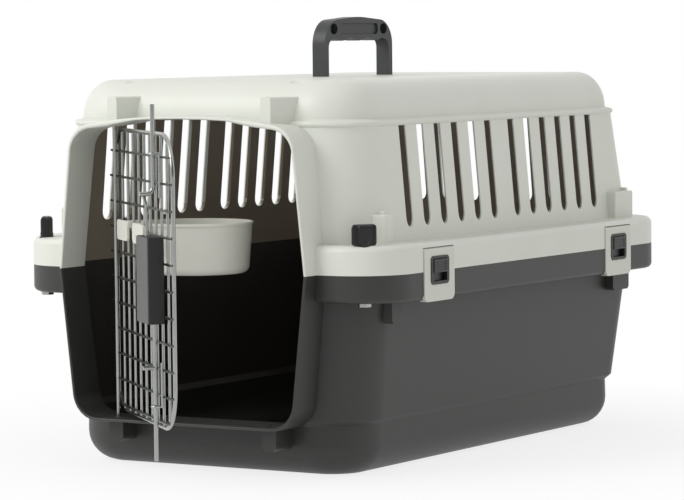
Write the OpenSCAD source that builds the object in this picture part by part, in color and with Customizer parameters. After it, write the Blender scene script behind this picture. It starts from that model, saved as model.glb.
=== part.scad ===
// Two-shell travel carrier for a bird, with a wire door, a hanging food cup and a carry handle.
// Millimetres, +Z up. The origin is the bottom centre of the base, and the door faces -Y.

/* [Shells] */
// Width over the joint rims
rim_w = 399; // [360:1:480]
// Length over the joint rims
rim_l = 557; // [500:1:680]
// Height of the plane where the two shells meet
split_z = 181.6; // [150:0.2:220]
// Height of the flat of the roof
roof_z = 351.3; // [330:0.1:420]
// Wall thickness of both shells
wall = 3; // [2.5:0.1:4]
// Height of the upper shell's rim
upper_rim_h = 26; // [22:0.5:34]
// Height of the tub's rim
lower_rim_h = 24.6; // [22:0.2:34]
// Width of the ledge from the side wall to the rim's edge
ledge_w = 31; // [29:0.5:36]
// Width of the ledge at the front wall
ledge_front = 14; // [12:0.5:24]
// Width of the ledge at the rear wall
ledge_rear = 9.5; // [8:0.5:26]
// Side wall's draft in degrees
side_draft = 5.2; // [2:0.1:8]
// Rear wall's draft in degrees
rear_draft = 7.4; // [2:0.1:9]
// Front wall's draft in degrees
front_draft = 1.5; // [0.5:0.1:3]
// Corner radius of the front wall
front_corner_r = 50; // [46:1:72]
// Corner radius of the rear wall
rear_corner_r = 32; // [32:1:60]
// Height of the rib line under the dome
rib_z = 313; // [290:0.5:334]
// How far the dome stands in from the rib line
dome_inset = 3.5; // [2:0.5:9]
// How far the roof's round edge runs inwards
dome_run = 28; // [16:0.5:30]
// Height of the base plinth's step
step_z = 47.5; // [36:0.5:60]
// How far the plinth stands in
step_inset = 4; // [2:0.5:9]
// How far the plinth stands in at the front
step_front = 4; // [2:0.5:14]
// Radius of the base's lower edge
base_r = 28; // [8:1:28]

/* [Vents] */
// Spacing of the vent slots
vent_pitch = 31.2; // [28:0.2:36]
// Width of one vent slot
vent_w = 12; // [8:0.5:16]
// Lower end of the side vents
vent_bottom = 219; // [212:1:239]
// Gap between the vents' tops and the rib line
vent_rib_gap = 0; // [0:0.5:30]
// Vent slots in each of the two groups on a side
vent_count = 6; // [3:1:6]
// Distance from the middle to the first slot of a group
vent_start = 22.2; // [18:0.2:30]
// Vent slots in the rear wall
rear_vent_count = 6; // [2:2:8]

/* [Doorway] */
// How far the doorway surround stands out from the rim's front
lip_reach = 18.2; // [16:0.1:34]
// Half-width of the surround where the shells meet
lip_half_w = 132.6; // [126:0.2:136]
// Half-width that the surround's sides aim at, at the sill
sill_half_w = 117.3; // [108:0.2:122]
// Half-width that the surround's sides aim at, at its top
head_half_w = 119.6; // [108:0.2:124]
// Height of the surround's sill
sill_z = 44; // [38:0.5:48]
// Height of the surround's top in its corners
head_z = 310; // [294:0.5:312]
// Height of the surround's crown
crown_z = 320.5; // [304:0.5:322]
// Radius of the surround's corners
lip_corner_r = 26; // [18:1:34]

/* [Door] */
// X of the hinge rod; the latch rods close at the same distance on the other side
hinge_x = 84; // [76:0.5:90]
// Distance of the hinge rod behind the rim's front
hinge_back = 3.5; // [-1:0.5:5]
// How far the door stands open at rest, in degrees
door_angle = 42; // [30:1:60]
// Diameter of the frame wire and the rods
rod_d = 4; // [3.5:0.1:4.6]
// Diameter of the upright mesh wires
upright_d = 2.8; // [2.2:0.1:3.2]
// Diameter of the cross wires
cross_d = 2.2; // [2:0.1:3]
// Spacing of the upright wires
upright_pitch = 21.6; // [18:0.2:24]
// Upright wires in the door
upright_count = 10; // [8:1:10]
// Spacing of the cross wires
cross_pitch = 23; // [20:0.5:25]
// Cross wires in the door
cross_count = 11; // [9:1:11]
// Lowest cross wire
cross_low = 58; // [56:0.5:64]
// Height of the frame's lower wire
frame_low = 53; // [51:0.5:56]
// Height of the frame's upper wire
frame_high = 307; // [294:0.5:307]
// How far the frame reaches past the hinge and latch rods
frame_over = 28; // [20:0.5:30]
// Corner radius of the frame wire
frame_corner_r = 36; // [20:1:45]
// How far the latch rods stand out from the hinge line
latch_out = 4.5; // [3.5:0.1:6]
// Travel of each latch rod
latch_travel = 23.5; // [20:0.5:24]
// Radial clearance of the rods in their bores
rod_gap = 0.1; // [0.05:0.01:0.1]

/* [Latch grip] */
// Height of the grip
grip_h = 75; // [66:1:84]
// Height of the grip's middle
grip_z = 182; // [174:1:194]
// Width of the grip along the door
grip_w = 42; // [34:1:48]
// Depth of the grip
grip_d = 15; // [13:0.5:17]
// Wall thickness of the grip's case
grip_wall = 1.8; // [1.4:0.1:2.2]

/* [Food cup] */
// Diameter of the food cup
cup_d = 99; // [80:1:110]
// Height of the food cup
cup_h = 46; // [40:1:60]
// Wall thickness of the food cup
cup_wall = 2; // [1.5:0.1:3]
// Lift that unhooks the cup
cup_lift = 14; // [13:0.5:14.5]

/* [Handle] */
// Length of the handle over its legs
handle_l = 124; // [100:1:150]
// Width of the handle
handle_w = 14; // [12:0.5:18]
// Height of the grip's top above the roof
handle_rise = 56.7; // [48:0.1:66]
// Thickness of a leg along the handle
leg_t = 7; // [6:0.5:9]
// Height of the grip bar
bar_h = 22; // [18:0.5:24]
// Clearance of each leg in its roof slot
leg_gap = 0.3; // [0.2:0.05:0.5]

/* [Clips] */
// Width of a clip plate
clip_w = 53; // [46:1:58]
// Y of the front clips
clip_front_y = -184; // [-190:1:-170]
// Y of the rear clips
clip_rear_y = 164; // [150:1:175]
// Thickness of a clip plate
clip_t = 3; // [2.6:0.1:3.4]
// Diameter of a clip's hinge pin
clip_pin_d = 2.4; // [2:0.1:2.8]
// Travel of the lock slider
lock_travel = 7; // [5:0.5:7]
// Radial clearance of the pins in their bores
pin_gap = 0.05; // [0.02:0.01:0.1]

/* [Knobs] */
// Distance of the corner knobs from the rim's sides
knob_in = 28.2; // [26.5:0.1:33.5]
// Distance of the corner knobs from the rim's front
knob_back = 16.2; // [15:0.1:23]
// Width over a knob's two wings
knob_w = 23; // [18:0.5:25]
// Thickness of a knob's wings
knob_t = 11; // [8:0.5:13]
// Height of a knob
knob_h = 21; // [18:0.5:26]
// Turn of each knob's wings from the front, in degrees
knob_turn = 55; // [0:5:90]
// Diameter of the bolt
bolt_d = 6; // [5:0.5:7]

/* [Hidden] */
$fn = 48;
eps = 0.01;
cut = 1;
arc_steps = 6;
face_gap = 0.3;

rim_front = -rim_l / 2 - 2.5;
rim_rear = rim_l / 2 - 2.5;
knob_x = rim_w / 2 - knob_in;
knob_y = rim_front + knob_back;
lip_y = rim_front - lip_reach;
hinge_y = rim_front + hinge_back;
rim_r = 50;
rim_edge_r = 6.5;
rib_out = 1.8;
rib_half_h = 3;
rim_top = split_z + upper_rim_h;
rim_bottom = split_z - lower_rim_h;
wall_half_w = rim_w / 2 - ledge_w;
wall_front = rim_front + ledge_front;
wall_rear = rim_rear - ledge_rear;
surround_back = wall_front + 30;
vent_top = rib_z - rib_half_h - vent_rib_gap;

// Half-width, front and rear of the walls at a height, for a wall that stands in by off
function drafted(z, rise, off) = [
    z,
    wall_half_w - rise * tan(side_draft) - off,
    wall_front + rise * tan(front_draft) + off,
    wall_rear - rise * tan(rear_draft) - off,
    front_corner_r,
    rear_corner_r];
function above(z, off = 0) = drafted(z, z - rim_top, off);
function below(z, off = 0) = drafted(z, rim_bottom - z, off);

// The same outline at another height, standing in by off with its corners about the same centres
function inner_level(level, z, off) = [
    z, level[1] - off, level[2] + off, level[3] - off, level[4] - off, level[5] - off];
function rim_level(z, off) = [
    z, rim_w / 2 - off, rim_front + off, rim_rear - off, rim_r - off, rim_r - off];

function corner_points(x, y, r, start) = [
    for (i = [0:arc_steps])
        [x + r * cos(start + 90 * i / arc_steps), y + r * sin(start + 90 * i / arc_steps)]];

// One horizontal outline with round corners: height, half-width, front, rear and both radii
function outline(level) = concat(
    corner_points(level[1] - level[5], level[3] - level[5], level[5], 0),
    corner_points(-level[1] + level[5], level[3] - level[5], level[5], 90),
    corner_points(-level[1] + level[4], level[2] + level[4], level[4], 180),
    corner_points(level[1] - level[4], level[2] + level[4], level[4], 270));

module loft(levels) {
    rings = [for (level = levels) [for (p = outline(level)) [p[0], p[1], level[0]]]];
    count = len(rings[0]);
    last = len(rings) - 1;
    points = [for (ring = rings) each ring];
    sides = [
        for (k = [0:last - 1], i = [0:count - 1])
            let (a = k * count + i, b = k * count + (i + 1) % count)
                each [[a, a + count, b], [b, a + count, b + count]]];
    bottom = [for (i = [0:count - 1]) i];
    top = [for (i = [count - 1:-1:0]) last * count + i];
    polyhedron(points = points, faces = concat([bottom], sides, [top]), convexity = 6);
}

// A polygon's points with each corner rounded; a vertex is x, y and its radius
function rounded(path, steps = 6) = [
    for (i = [0:len(path) - 1])
        let (
            p = [path[i][0], path[i][1]],
            q = path[(i + len(path) - 1) % len(path)],
            s = path[(i + 1) % len(path)],
            u = unit([q[0], q[1]] - p),
            w = unit([s[0], s[1]] - p),
            r = path[i][2],
            half = acos(max(-1, min(1, u * w))) / 2,
            middle = p + unit(u + w) * r / sin(half),
            from = p + u * r / tan(half),
            to = p + w * r / tan(half))
            each r <= 0 ? [p] : [for (k = [0:steps]) on_arc(middle, from, to, r, k / steps)]];
function unit(v) = norm(v) > 0 ? v / norm(v) : [0, 0];
function on_arc(middle, from, to, r, t) =
    middle + r * unit((from - middle) * (1 - t) + (to - middle) * t);

// The doorway surround's outline in X and Z, standing in by off
function surround_path(off) = [
    [-sill_half_w + off, sill_z + off, lip_corner_r - off],
    [sill_half_w - off, sill_z + off, lip_corner_r - off],
    [lip_half_w - off, split_z, 0],
    [head_half_w - off, head_z - off, lip_corner_r - off],
    [head_half_w / 2, crown_z - 2.5 - off, 0],
    [0, crown_z - off, 0],
    [-head_half_w / 2, crown_z - 2.5 - off, 0],
    [-head_half_w + off, head_z - off, lip_corner_r - off],
    [-lip_half_w + off, split_z, 0]];

module surround_prism(off, from_y, to_y) {
    translate([0, to_y, 0])
        rotate([90, 0, 0])
            linear_extrude(to_y - from_y)
                polygon(rounded(surround_path(off)));
}

module box(low, high) {
    translate(low)
        cube(high - low);
}

// A vent slot with a round foot and a square top, standing along Z and running along X
module slot_x(y, x_low, x_high) {
    translate([x_low, y, 0])
        rotate([90, 0, 90])
            linear_extrude(x_high - x_low)
                union() {
                    translate([-vent_w / 2, vent_bottom + vent_w / 2])
                        square([vent_w, vent_top - vent_bottom - vent_w / 2]);
                    translate([0, vent_bottom + vent_w / 2])
                        circle(d = vent_w);
                }
}

module at_sides() {
    for (side = [-1, 1])
        mirror([side > 0 ? 0 : 1, 0, 0])
            children();
}

// Clips
clip_x = rim_w / 2 + 1;
clip_low = rim_bottom - 2.2;
clip_knuckle_r = 3;
clip_pin_x = clip_x - clip_t;
clip_pin_z = split_z + 17.6;
clip_seat_x = clip_x - clip_t - 2.7;
clip_gap = 0.5;
clip_post_w = 12;
clip_post_over = 6;
clip_recess_high = clip_pin_z + clip_knuckle_r + 0.8;
clip_pin_l = clip_w + 9;
hook_in = 4;
hook_side = 3;
hook_high = rim_bottom - 0.4;
bezel_out = 0.8;
lock_out = 1.6;
flange_t = 1.6;
flange_out = clip_x - clip_t - 0.4;
flange_side = 2.5;
flange_over = 2;
window_w = 32;
window_low = split_z - 12;
window_high = split_z + 13.4;
window_open_w = 24;
window_open_low = window_low + 2.9;
window_open_high = window_high - 2.5;
lock_h = 12;
lock_high = window_open_high - 0.5;
flange_low = lock_high - lock_h - lock_travel - flange_over;
tongue_w = 16;
tongue_in = clip_seat_x - 4.5;
tongue_t = 3;
tongue_low = split_z + 2.4;
tongue_h = 7.5;
bridge_t = 2.5;
pocket_gap = 0.6;
pocket_high = tongue_low + tongue_h + bridge_t + 2;

CLIPS = [
    [1, clip_front_y], [1, clip_rear_y], [-1, clip_front_y], [-1, clip_rear_y]];

module at_clip(index) {
    mirror([CLIPS[index][0] > 0 ? 0 : 1, 0, 0])
        translate([0, CLIPS[index][1], 0])
            children();
}

module clip_seat(z_low, z_high) {
    for (i = [0:3])
        at_clip(i)
            box([clip_seat_x - clip_post_w, -clip_w / 2 - clip_post_over, z_low],
                [rim_w / 2 - 1, clip_w / 2 + clip_post_over, z_high]);
}

module clip_recess() {
    for (i = [0:3])
        at_clip(i) {
            box([clip_seat_x, -clip_w / 2 - clip_gap, rim_bottom - cut],
                [rim_w / 2 + cut, clip_w / 2 + clip_gap, clip_pin_z]);
            box([clip_pin_x - clip_knuckle_r - 1, -clip_w / 2 - clip_gap, clip_pin_z - clip_knuckle_r - 1],
                [rim_w / 2 + cut, clip_w / 2 + clip_gap, clip_recess_high]);
            translate([clip_pin_x, 0, clip_pin_z])
                rotate([90, 0, 0])
                    cylinder(d = clip_pin_d, h = clip_pin_l, center = true);
        }
}

// Pockets for the locks' tongues, from the tongue's inner face out to x_high
module lock_pocket(x_high, z_low, z_high) {
    for (i = [0:3])
        at_clip(i)
            box([tongue_in - pocket_gap, -tongue_w / 2 - pocket_gap, z_low],
                [x_high, tongue_w / 2 + pocket_gap, z_high]);
}

// Rod sockets, moulded above and below the doorway surround
upper_socket_w = 10.4;
lower_socket_w = 15;
socket_wall = 2;
socket_back = wall_front + 32;
lower_socket_low = sill_z - 20;
upper_socket_high = head_z + 27;
SOCKETS = [[-hinge_x, hinge_y], [hinge_x, hinge_y - latch_out]];
rod_low = lower_socket_low + 1.5;
rod_high = head_z + latch_travel;
bore_d = rod_d + 2 * rod_gap;
latch_bore_gap = 0.3;

module sockets(width, z_low, z_high) {
    for (socket = SOCKETS)
        box([socket[0] - width / 2, socket[1] - rod_d / 2 - socket_wall, z_low],
            [socket[0] + width / 2, socket_back, z_high]);
}

module rod_bores(z_low, z_high) {
    translate([-hinge_x, hinge_y, z_low])
        cylinder(d = bore_d, h = z_high - z_low);
    translate([hinge_x, hinge_y - latch_out, z_low])
        cylinder(d = bore_d + 2 * latch_bore_gap, h = z_high - z_low);
}

// Bolts at the front corners
bolt_column_r = 8;
bolt_head_h = 3;
bolt_head_d = 12;
knob_seat = 0.2;
knob_recess = 2.5;
knob_foot_d = 12;
knob_recess_r = knob_foot_d / 2 + 1;
bolt_top = rim_top + 12;
knob_wing_low = knob_recess - knob_seat + 0.4;

module at_bolts() {
    for (side = [-1, 1])
        translate([side * knob_x, knob_y, 0])
            children();
}

dome_start = above(rib_z + rib_half_h + 1, dome_inset);
dome_levels = [
    for (a = [0:15:90])
        inner_level(
            dome_start, dome_start[0] + (roof_z - dome_start[0]) * sin(a), dome_run * (1 - cos(a)))];

upper_wall_levels = [
    above(rim_top - cut),
    above(rib_z - rib_half_h),
    above(rib_z - 1, -rib_out),
    above(rib_z + 1, -rib_out),
    each dome_levels];

module upper_inside() {
    loft(concat(
        [inner_level(above(split_z), split_z - cut, wall)],
        [inner_level(above(rib_z - rib_half_h), rib_z - rib_half_h, wall)],
        [for (level = dome_levels) inner_level(level, level[0] - wall, wall)]));
}

module side_vents() {
    for (side = [-1, 1], k = [0:vent_count - 1])
        slot_x(side * (vent_start + vent_pitch * k), -rim_w / 2, rim_w / 2);
}

module rear_vents() {
    for (k = [0:rear_vent_count - 1])
        rotate([0, 0, 90])
            slot_x((k - (rear_vent_count - 1) / 2) * vent_pitch, wall_rear - 40, rim_rear);
}

// Handle
leg_y = handle_l / 2 - leg_t / 2;
handle_top = roof_z + handle_rise;
leg_foot_z = roof_z - 17;
sleeve_low = roof_z - 13;

module leg_openings(z_low, z_high) {
    for (y = [-leg_y, leg_y])
        box([-handle_w / 2 - leg_gap, y - leg_t / 2 - leg_gap, z_low],
            [handle_w / 2 + leg_gap, y + leg_t / 2 + leg_gap, z_high]);
}

module leg_sleeves() {
    for (y = [-leg_y, leg_y])
        box([-handle_w / 2 - leg_gap - wall, y - leg_t / 2 - leg_gap - wall, sleeve_low],
            [handle_w / 2 + leg_gap + wall, y + leg_t / 2 + leg_gap + wall, roof_z - wall / 2]);
}

// Stacking posts on the upper rim and stacking pegs under the lower one: front and rear in Y
POSTS = [[-236, -222], [206, 244]];
PEGS = [[-226, -208], [200, 234]];
stack_in = 16;
stack_out = 7.5;
post_h = 25.4;
peg_h = 21;

module posts() {
    at_sides()
        for (y = POSTS)
            box([wall_half_w - stack_in, y[0], rim_top - 2],
                [wall_half_w + stack_out, y[1], rim_top + post_h]);
}

module pegs() {
    at_sides()
        for (y = PEGS)
            box([wall_half_w - stack_in, y[0], rim_bottom - peg_h],
                [wall_half_w + stack_out, y[1], rim_bottom + 1]);
}

module upper_shell() {
    color("gainsboro")
        difference() {
            union() {
                loft(upper_wall_levels);
                loft([
                    rim_level(split_z, 0),
                    rim_level(rim_top - rim_edge_r, 0),
                    rim_level(rim_top - rim_edge_r / 2, rim_edge_r * (1 - cos(30))),
                    rim_level(rim_top - rim_edge_r * (1 - sin(60)), rim_edge_r * (1 - cos(60))),
                    rim_level(rim_top, rim_edge_r)]);
                intersection() {
                    surround_prism(0, lip_y, surround_back);
                    box([-rim_w, lip_y - cut, split_z], [rim_w, 0, roof_z]);
                }
                intersection() {
                    sockets(upper_socket_w, head_z - 8, upper_socket_high);
                    box([-rim_w, lip_y, split_z], [rim_w, 0, upper_socket_high]);
                }
                posts();
            }
            difference() {
                loft([
                    rim_level(split_z - cut, wall),
                    rim_level(rim_top - rim_edge_r, wall),
                    rim_level(rim_top - wall, wall + 3)]);
                loft([
                    above(split_z - 2 * cut),
                    above(rim_top)]);
                clip_seat(split_z - 2, rim_top);
                surround_prism(0, rim_front - cut, surround_back);
                at_bolts()
                    translate([0, 0, split_z - 2])
                        cylinder(r = bolt_column_r, h = upper_rim_h);
            }
            upper_inside();
            surround_prism(wall, lip_y - cut, 0);
            side_vents();
            rear_vents();
            clip_recess();
            lock_pocket(rim_w / 2 + cut, split_z - cut, pocket_high);
            rod_bores(split_z, upper_socket_high - 1);
            at_bolts() {
                translate([0, 0, split_z - cut])
                    cylinder(d = bolt_d + 2 * rod_gap, h = upper_rim_h + 2 * cut);
                translate([0, 0, rim_top - knob_recess])
                    cylinder(r = knob_recess_r, h = knob_recess + cut);
            }
            leg_openings(split_z + 100, roof_z + cut);
        }
    color("gainsboro")
        difference() {
            leg_sleeves();
            leg_openings(sleeve_low - cut, roof_z);
        }
}

function plinth_level(z) =
    let (level = below(z, step_inset))
        [z, level[1], level[2] - step_inset + step_front, level[3], level[4], level[5]];
plinth = plinth_level(step_z);
tub_levels = [
    for (a = [0:22.5:90])
        inner_level(plinth, base_r * (1 - cos(a)), base_r * (1 - sin(a))),
    plinth_level(step_z - 2),
    below(step_z + 2),
    below(rim_bottom + cut)];

module tub_inside() {
    loft(concat(
        [for (level = tub_levels) inner_level(level, level[0] + wall, wall)],
        [inner_level(below(split_z), split_z + cut, wall)]));
}

module lower_tub() {
    color("dimgray")
        difference() {
            union() {
                loft(tub_levels);
                loft([
                    rim_level(rim_bottom, 4),
                    rim_level(rim_bottom + 1.4, 1.4),
                    rim_level(rim_bottom + 4, 0),
                    rim_level(split_z, 0)]);
                intersection() {
                    surround_prism(0, lip_y, surround_back);
                    box([-rim_w, lip_y - cut, 0], [rim_w, 0, split_z]);
                }
                sockets(lower_socket_w, lower_socket_low, sill_z + wall);
                pegs();
            }
            difference() {
                loft([
                    rim_level(rim_bottom + wall, wall),
                    rim_level(split_z + cut, wall)]);
                loft([
                    below(rim_bottom),
                    below(split_z + 2 * cut)]);
                clip_seat(rim_bottom, split_z + 2);
                surround_prism(0, rim_front - cut, surround_back);
                at_bolts()
                    translate([0, 0, rim_bottom])
                        cylinder(r = bolt_column_r, h = lower_rim_h + 2);
            }
            tub_inside();
            surround_prism(wall, lip_y - cut, 0);
            clip_recess();
            lock_pocket(tongue_in + tongue_t + pocket_gap, split_z - lock_travel, split_z + cut);
            rod_bores(lower_socket_low + 1, split_z);
            at_bolts()
                translate([0, 0, rim_bottom - cut])
                    cylinder(d = bolt_d + 2 * rod_gap, h = lower_rim_h + 2 * cut);
        }
}

// Clip pieces
module clip_plate(index) {
    color("gainsboro")
        at_clip(index)
            difference() {
                union() {
                    box([clip_x - clip_t, -clip_w / 2, clip_low], [clip_x, clip_w / 2, clip_pin_z]);
                    box([clip_x - clip_t - hook_in, -clip_w / 2 + hook_side, clip_low],
                        [clip_x - eps, clip_w / 2 - hook_side, hook_high]);
                    translate([clip_pin_x, 0, clip_pin_z])
                        rotate([90, 0, 0])
                            cylinder(r = clip_knuckle_r, h = clip_w, center = true);
                }
                translate([clip_pin_x, 0, clip_pin_z])
                    rotate([90, 0, 0])
                        cylinder(d = clip_pin_d + 2 * pin_gap, h = clip_w + 2, center = true);
                box([clip_x - clip_t - cut, -window_w / 2, window_low],
                    [clip_x + cut, window_w / 2, window_high]);
            }
}

module clip_bezel(index) {
    color("darkslategray")
        at_clip(index)
            difference() {
                box([clip_x - clip_t, -window_w / 2, window_low],
                    [clip_x + bezel_out, window_w / 2, window_high]);
                box([clip_x - clip_t - cut, -window_open_w / 2, window_open_low],
                    [clip_x + 2, window_open_w / 2, window_open_high]);
            }
}

// A slider: thumb pad, a flange behind the bezel that hides its slot, and a tongue on a bridge
module clip_lock(index) {
    color("black")
        at_clip(index) {
            box([flange_out - eps, -window_open_w / 2 + face_gap, lock_high - lock_h],
                [clip_x + lock_out, window_open_w / 2 - face_gap, lock_high]);
            box([flange_out - flange_t, -window_open_w / 2 - flange_side, flange_low],
                [flange_out, window_open_w / 2 + flange_side, lock_high + flange_over]);
            box([tongue_in, -tongue_w / 2, tongue_low + tongue_h],
                [flange_out - flange_t + eps, tongue_w / 2, tongue_low + tongue_h + bridge_t]);
            box([tongue_in, -tongue_w / 2, tongue_low],
                [tongue_in + tongue_t, tongue_w / 2, tongue_low + tongue_h + eps]);
        }
}

module clip_pins() {
    color("silver")
        for (i = [0:3])
            at_clip(i)
                translate([clip_pin_x, 0, clip_pin_z])
                    rotate([90, 0, 0])
                        cylinder(d = clip_pin_d, h = clip_pin_l, center = true);
}

// Knobs and bolts at the front corners
module knob(side) {
    color("black")
        translate([side * knob_x, knob_y, rim_top - knob_recess + knob_seat])
            rotate([0, 0, side * knob_turn])
                difference() {
                    union() {
                        cylinder(d = knob_foot_d, h = knob_h);
                        box([-knob_w / 2 + knob_t / 2, -knob_t / 2, knob_wing_low],
                            [knob_w / 2 - knob_t / 2, knob_t / 2, knob_h]);
                        for (end = [-1, 1])
                            translate([end * (knob_w - knob_t) / 2, 0, knob_wing_low])
                                cylinder(d = knob_t, h = knob_h - knob_wing_low);
                    }
                    translate([0, 0, -cut])
                        cylinder(d = bolt_d + 2 * pin_gap, h = bolt_top - rim_top + knob_recess + cut + 1);
                }
}

module bolts() {
    color("silver")
        at_bolts() {
            translate([0, 0, rim_bottom - bolt_head_h])
                cylinder(d = bolt_head_d, h = bolt_head_h);
            translate([0, 0, rim_bottom - eps])
                cylinder(d = bolt_d, h = bolt_top - rim_bottom);
        }
}

// Door pieces, drawn in the door's own frame: X along the door, Y outwards, Z up
mesh_out = -rod_d - cross_d;
upright_out = mesh_out + (rod_d - upright_d) / 2;
cross_out = mesh_out + rod_d / 2 + cross_d / 2;
frame_left = -frame_over;
frame_right = 2 * hinge_x + frame_over;
latch_u = 2 * hinge_x;
upright_start = -16.2;
cross_high = cross_low + cross_pitch * (cross_count - 1);

module in_door() {
    translate([-hinge_x, hinge_y, 0])
        rotate([0, 0, -door_angle])
            mirror([0, 1, 0])
                children();
}

module wire(from, to, d) {
    run = to - from;
    translate(from)
        rotate([0, acos(run[2] / norm(run)), atan2(run[1], run[0])])
            cylinder(d = d, h = norm(run));
}

module frame_corner(u, z, start) {
    translate([u, mesh_out, z])
        rotate([90, 0, 0])
            rotate([0, 0, start])
                rotate_extrude(angle = 90)
                    translate([frame_corner_r, 0])
                        circle(d = rod_d);
}

module door_frame() {
    color("silver")
        in_door() {
            u0 = frame_left;
            u1 = frame_right;
            r = frame_corner_r;
            wire([u0, mesh_out, frame_low + r], [u0, mesh_out, frame_high - r], rod_d);
            wire([u1, mesh_out, frame_low + r], [u1, mesh_out, frame_high - r], rod_d);
            wire([u0 + r, mesh_out, frame_low], [u1 - r, mesh_out, frame_low], rod_d);
            wire([u0 + r, mesh_out, frame_high], [u1 - r, mesh_out, frame_high], rod_d);
            frame_corner(u1 - r, frame_high - r, 0);
            frame_corner(u0 + r, frame_high - r, 90);
            frame_corner(u0 + r, frame_low + r, 180);
            frame_corner(u1 - r, frame_low + r, 270);
        }
}

wire_gap = 0.05;

// How far the inside of the frame's wire stands in from its top or bottom, at a distance along the door
function frame_inset(u) =
    let (
        edge = min(u - frame_left, frame_right - u),
        reach = edge < frame_corner_r ? frame_corner_r - edge + upright_d / 2 : 0)
        frame_corner_r - sqrt((frame_corner_r - rod_d / 2) ^ 2 - reach ^ 2);

module door_uprights() {
    color("silver")
        in_door()
            for (k = [0:upright_count - 1]) {
                u = upright_start + upright_pitch * k;
                inset = frame_inset(u) + wire_gap;
                wire([u, upright_out, frame_low + inset], [u, upright_out, frame_high - inset],
                    upright_d);
            }
}

module door_crossbars() {
    color("silver")
        in_door()
            for (k = [0:cross_count - 1]) {
                z = cross_low + cross_pitch * k;
                depth = max(0, frame_corner_r - min(z - frame_low, frame_high - z));
                inset = frame_corner_r - sqrt(frame_corner_r ^ 2 - depth ^ 2);
                wire([frame_left + inset - 4, cross_out, z], [frame_right - inset + 2, cross_out, z],
                    cross_d);
            }
}

module hinge_rod() {
    color("silver")
        in_door()
            wire([0, 0, rod_low], [0, 0, rod_high], rod_d);
}

guide_gap = 0.4;
guide_d = 2.2;
guide_leg_d = 3;
guide_leg_l = 39;
guide_r = rod_d / 2 + guide_gap + guide_d / 2;
guide_leg_out = cross_out + cross_d / 2 + guide_leg_d / 2;
guide_over = 8;
// Height of each guide's eye, and which way its leg runs from there
GUIDES = [[cross_low + cross_pitch - guide_over, 1], [cross_high + 3, -1]];

// Wire eyes that guide the latch rods, each with a leg that stands on the cross wires
module rod_guides() {
    color("silver")
        in_door()
            for (guide = GUIDES) {
                translate([latch_u, latch_out, guide[0]])
                    rotate_extrude(angle = 180)
                        translate([guide_r, 0])
                            circle(d = guide_d);
                wire([latch_u + guide_r, guide_leg_out, guide[0]], [latch_u + guide_r, latch_out, guide[0]],
                    guide_d);
                translate([latch_u + guide_r, guide_leg_out, guide[0] + guide[1] * (guide_leg_l / 2 - 1)])
                    cylinder(d = guide_leg_d, h = guide_leg_l, center = true);
            }
}

// Latch
grip_low = grip_z - grip_h / 2;
grip_high = grip_z + grip_h / 2;
grip_back = cross_out + cross_d / 2;
grip_front = grip_back + grip_d;
grip_left = latch_u - grip_w + 10;
grip_right = latch_u + 10;
plug_h = 8;
plug_w = 12;
link_d = 2.6;
link_u = latch_u - 9;
link_bend_z = grip_high + latch_travel + 4;
pull_reach = 12;
pull_bend_r = 6;
upper_pull_z = grip_high + 37;
lower_pull_z = grip_low - 38;
plug_back = grip_back + grip_wall + 0.5;
plug_front = grip_front - grip_wall - 0.5;
plug_reach = grip_h / 2 - grip_wall - 0.6 - plug_h;
link_out = plug_front - link_d / 2 - 0.6;

module grip_case() {
    color("black")
        in_door()
            difference() {
                box([grip_left, grip_back, grip_low], [grip_right, grip_front, grip_high]);
                box([grip_left + grip_wall, grip_back + grip_wall, grip_low + grip_wall],
                    [grip_right - grip_wall, grip_front - grip_wall, grip_high - grip_wall]);
                translate([latch_u, latch_out, grip_low - cut])
                    cylinder(d = bore_d, h = grip_wall + 2 * cut);
                translate([link_u, link_out, grip_high - grip_wall - cut])
                    cylinder(d = link_d + 2 * rod_gap, h = grip_wall + 2 * cut);
                box([grip_left - cut, grip_back + grip_wall + 2, grip_z - plug_reach - plug_h],
                    [grip_left + grip_wall + cut, grip_front - grip_wall - 2, grip_z + plug_reach + plug_h]);
            }
}

// A squeeze tab with its plug, which carries one rod; side is 1 for the upper one
module latch_tab(side) {
    plug_left = link_u - link_d / 2 - 2;
    color("dimgray")
        in_door()
            difference() {
                union() {
                    box([plug_left, plug_back, tab_z(side) - plug_h / 2],
                        [latch_u + plug_w / 2, plug_front, tab_z(side) + plug_h / 2]);
                    box([grip_left - 5, grip_back + grip_wall + 2.4, tab_z(side) - plug_h / 2 + 1],
                        [plug_left + eps, grip_front - grip_wall - 2.4, tab_z(side) + plug_h / 2 - 1]);
                }
                if (side > 0)
                    translate([link_u, link_out, tab_z(side) - plug_h])
                        cylinder(d = link_d, h = 2 * plug_h);
                else
                    translate([latch_u, latch_out, tab_z(side) - plug_h])
                        cylinder(d = rod_d, h = 2 * plug_h);
            }
}
function tab_z(side) = grip_z + side * (plug_h / 2 + plug_reach);

// The upper rod ends in a finger pull, from which a thinner link leads down into the grip
module upper_latch_rod() {
    color("silver")
        in_door() {
            wire([latch_u, latch_out, rod_high], [latch_u, latch_out, upper_pull_z + pull_bend_r], rod_d);
            translate([latch_u, latch_out + pull_bend_r, upper_pull_z + pull_bend_r])
                rotate([90, 0, 90])
                    rotate([0, 0, 180])
                        rotate_extrude(angle = 90)
                            translate([pull_bend_r, 0])
                                circle(d = rod_d);
            wire([latch_u, latch_out + pull_bend_r, upper_pull_z],
                [latch_u, latch_out + pull_reach, upper_pull_z], rod_d);
            wire([latch_u, latch_out + pull_reach - link_d, upper_pull_z],
                [link_u - 0.6, link_out - 0.4, link_bend_z - 0.7], link_d);
            wire([link_u, link_out, link_bend_z + 0.5], [link_u, link_out, tab_z(1) - plug_h / 2], link_d);
        }
}

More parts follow.
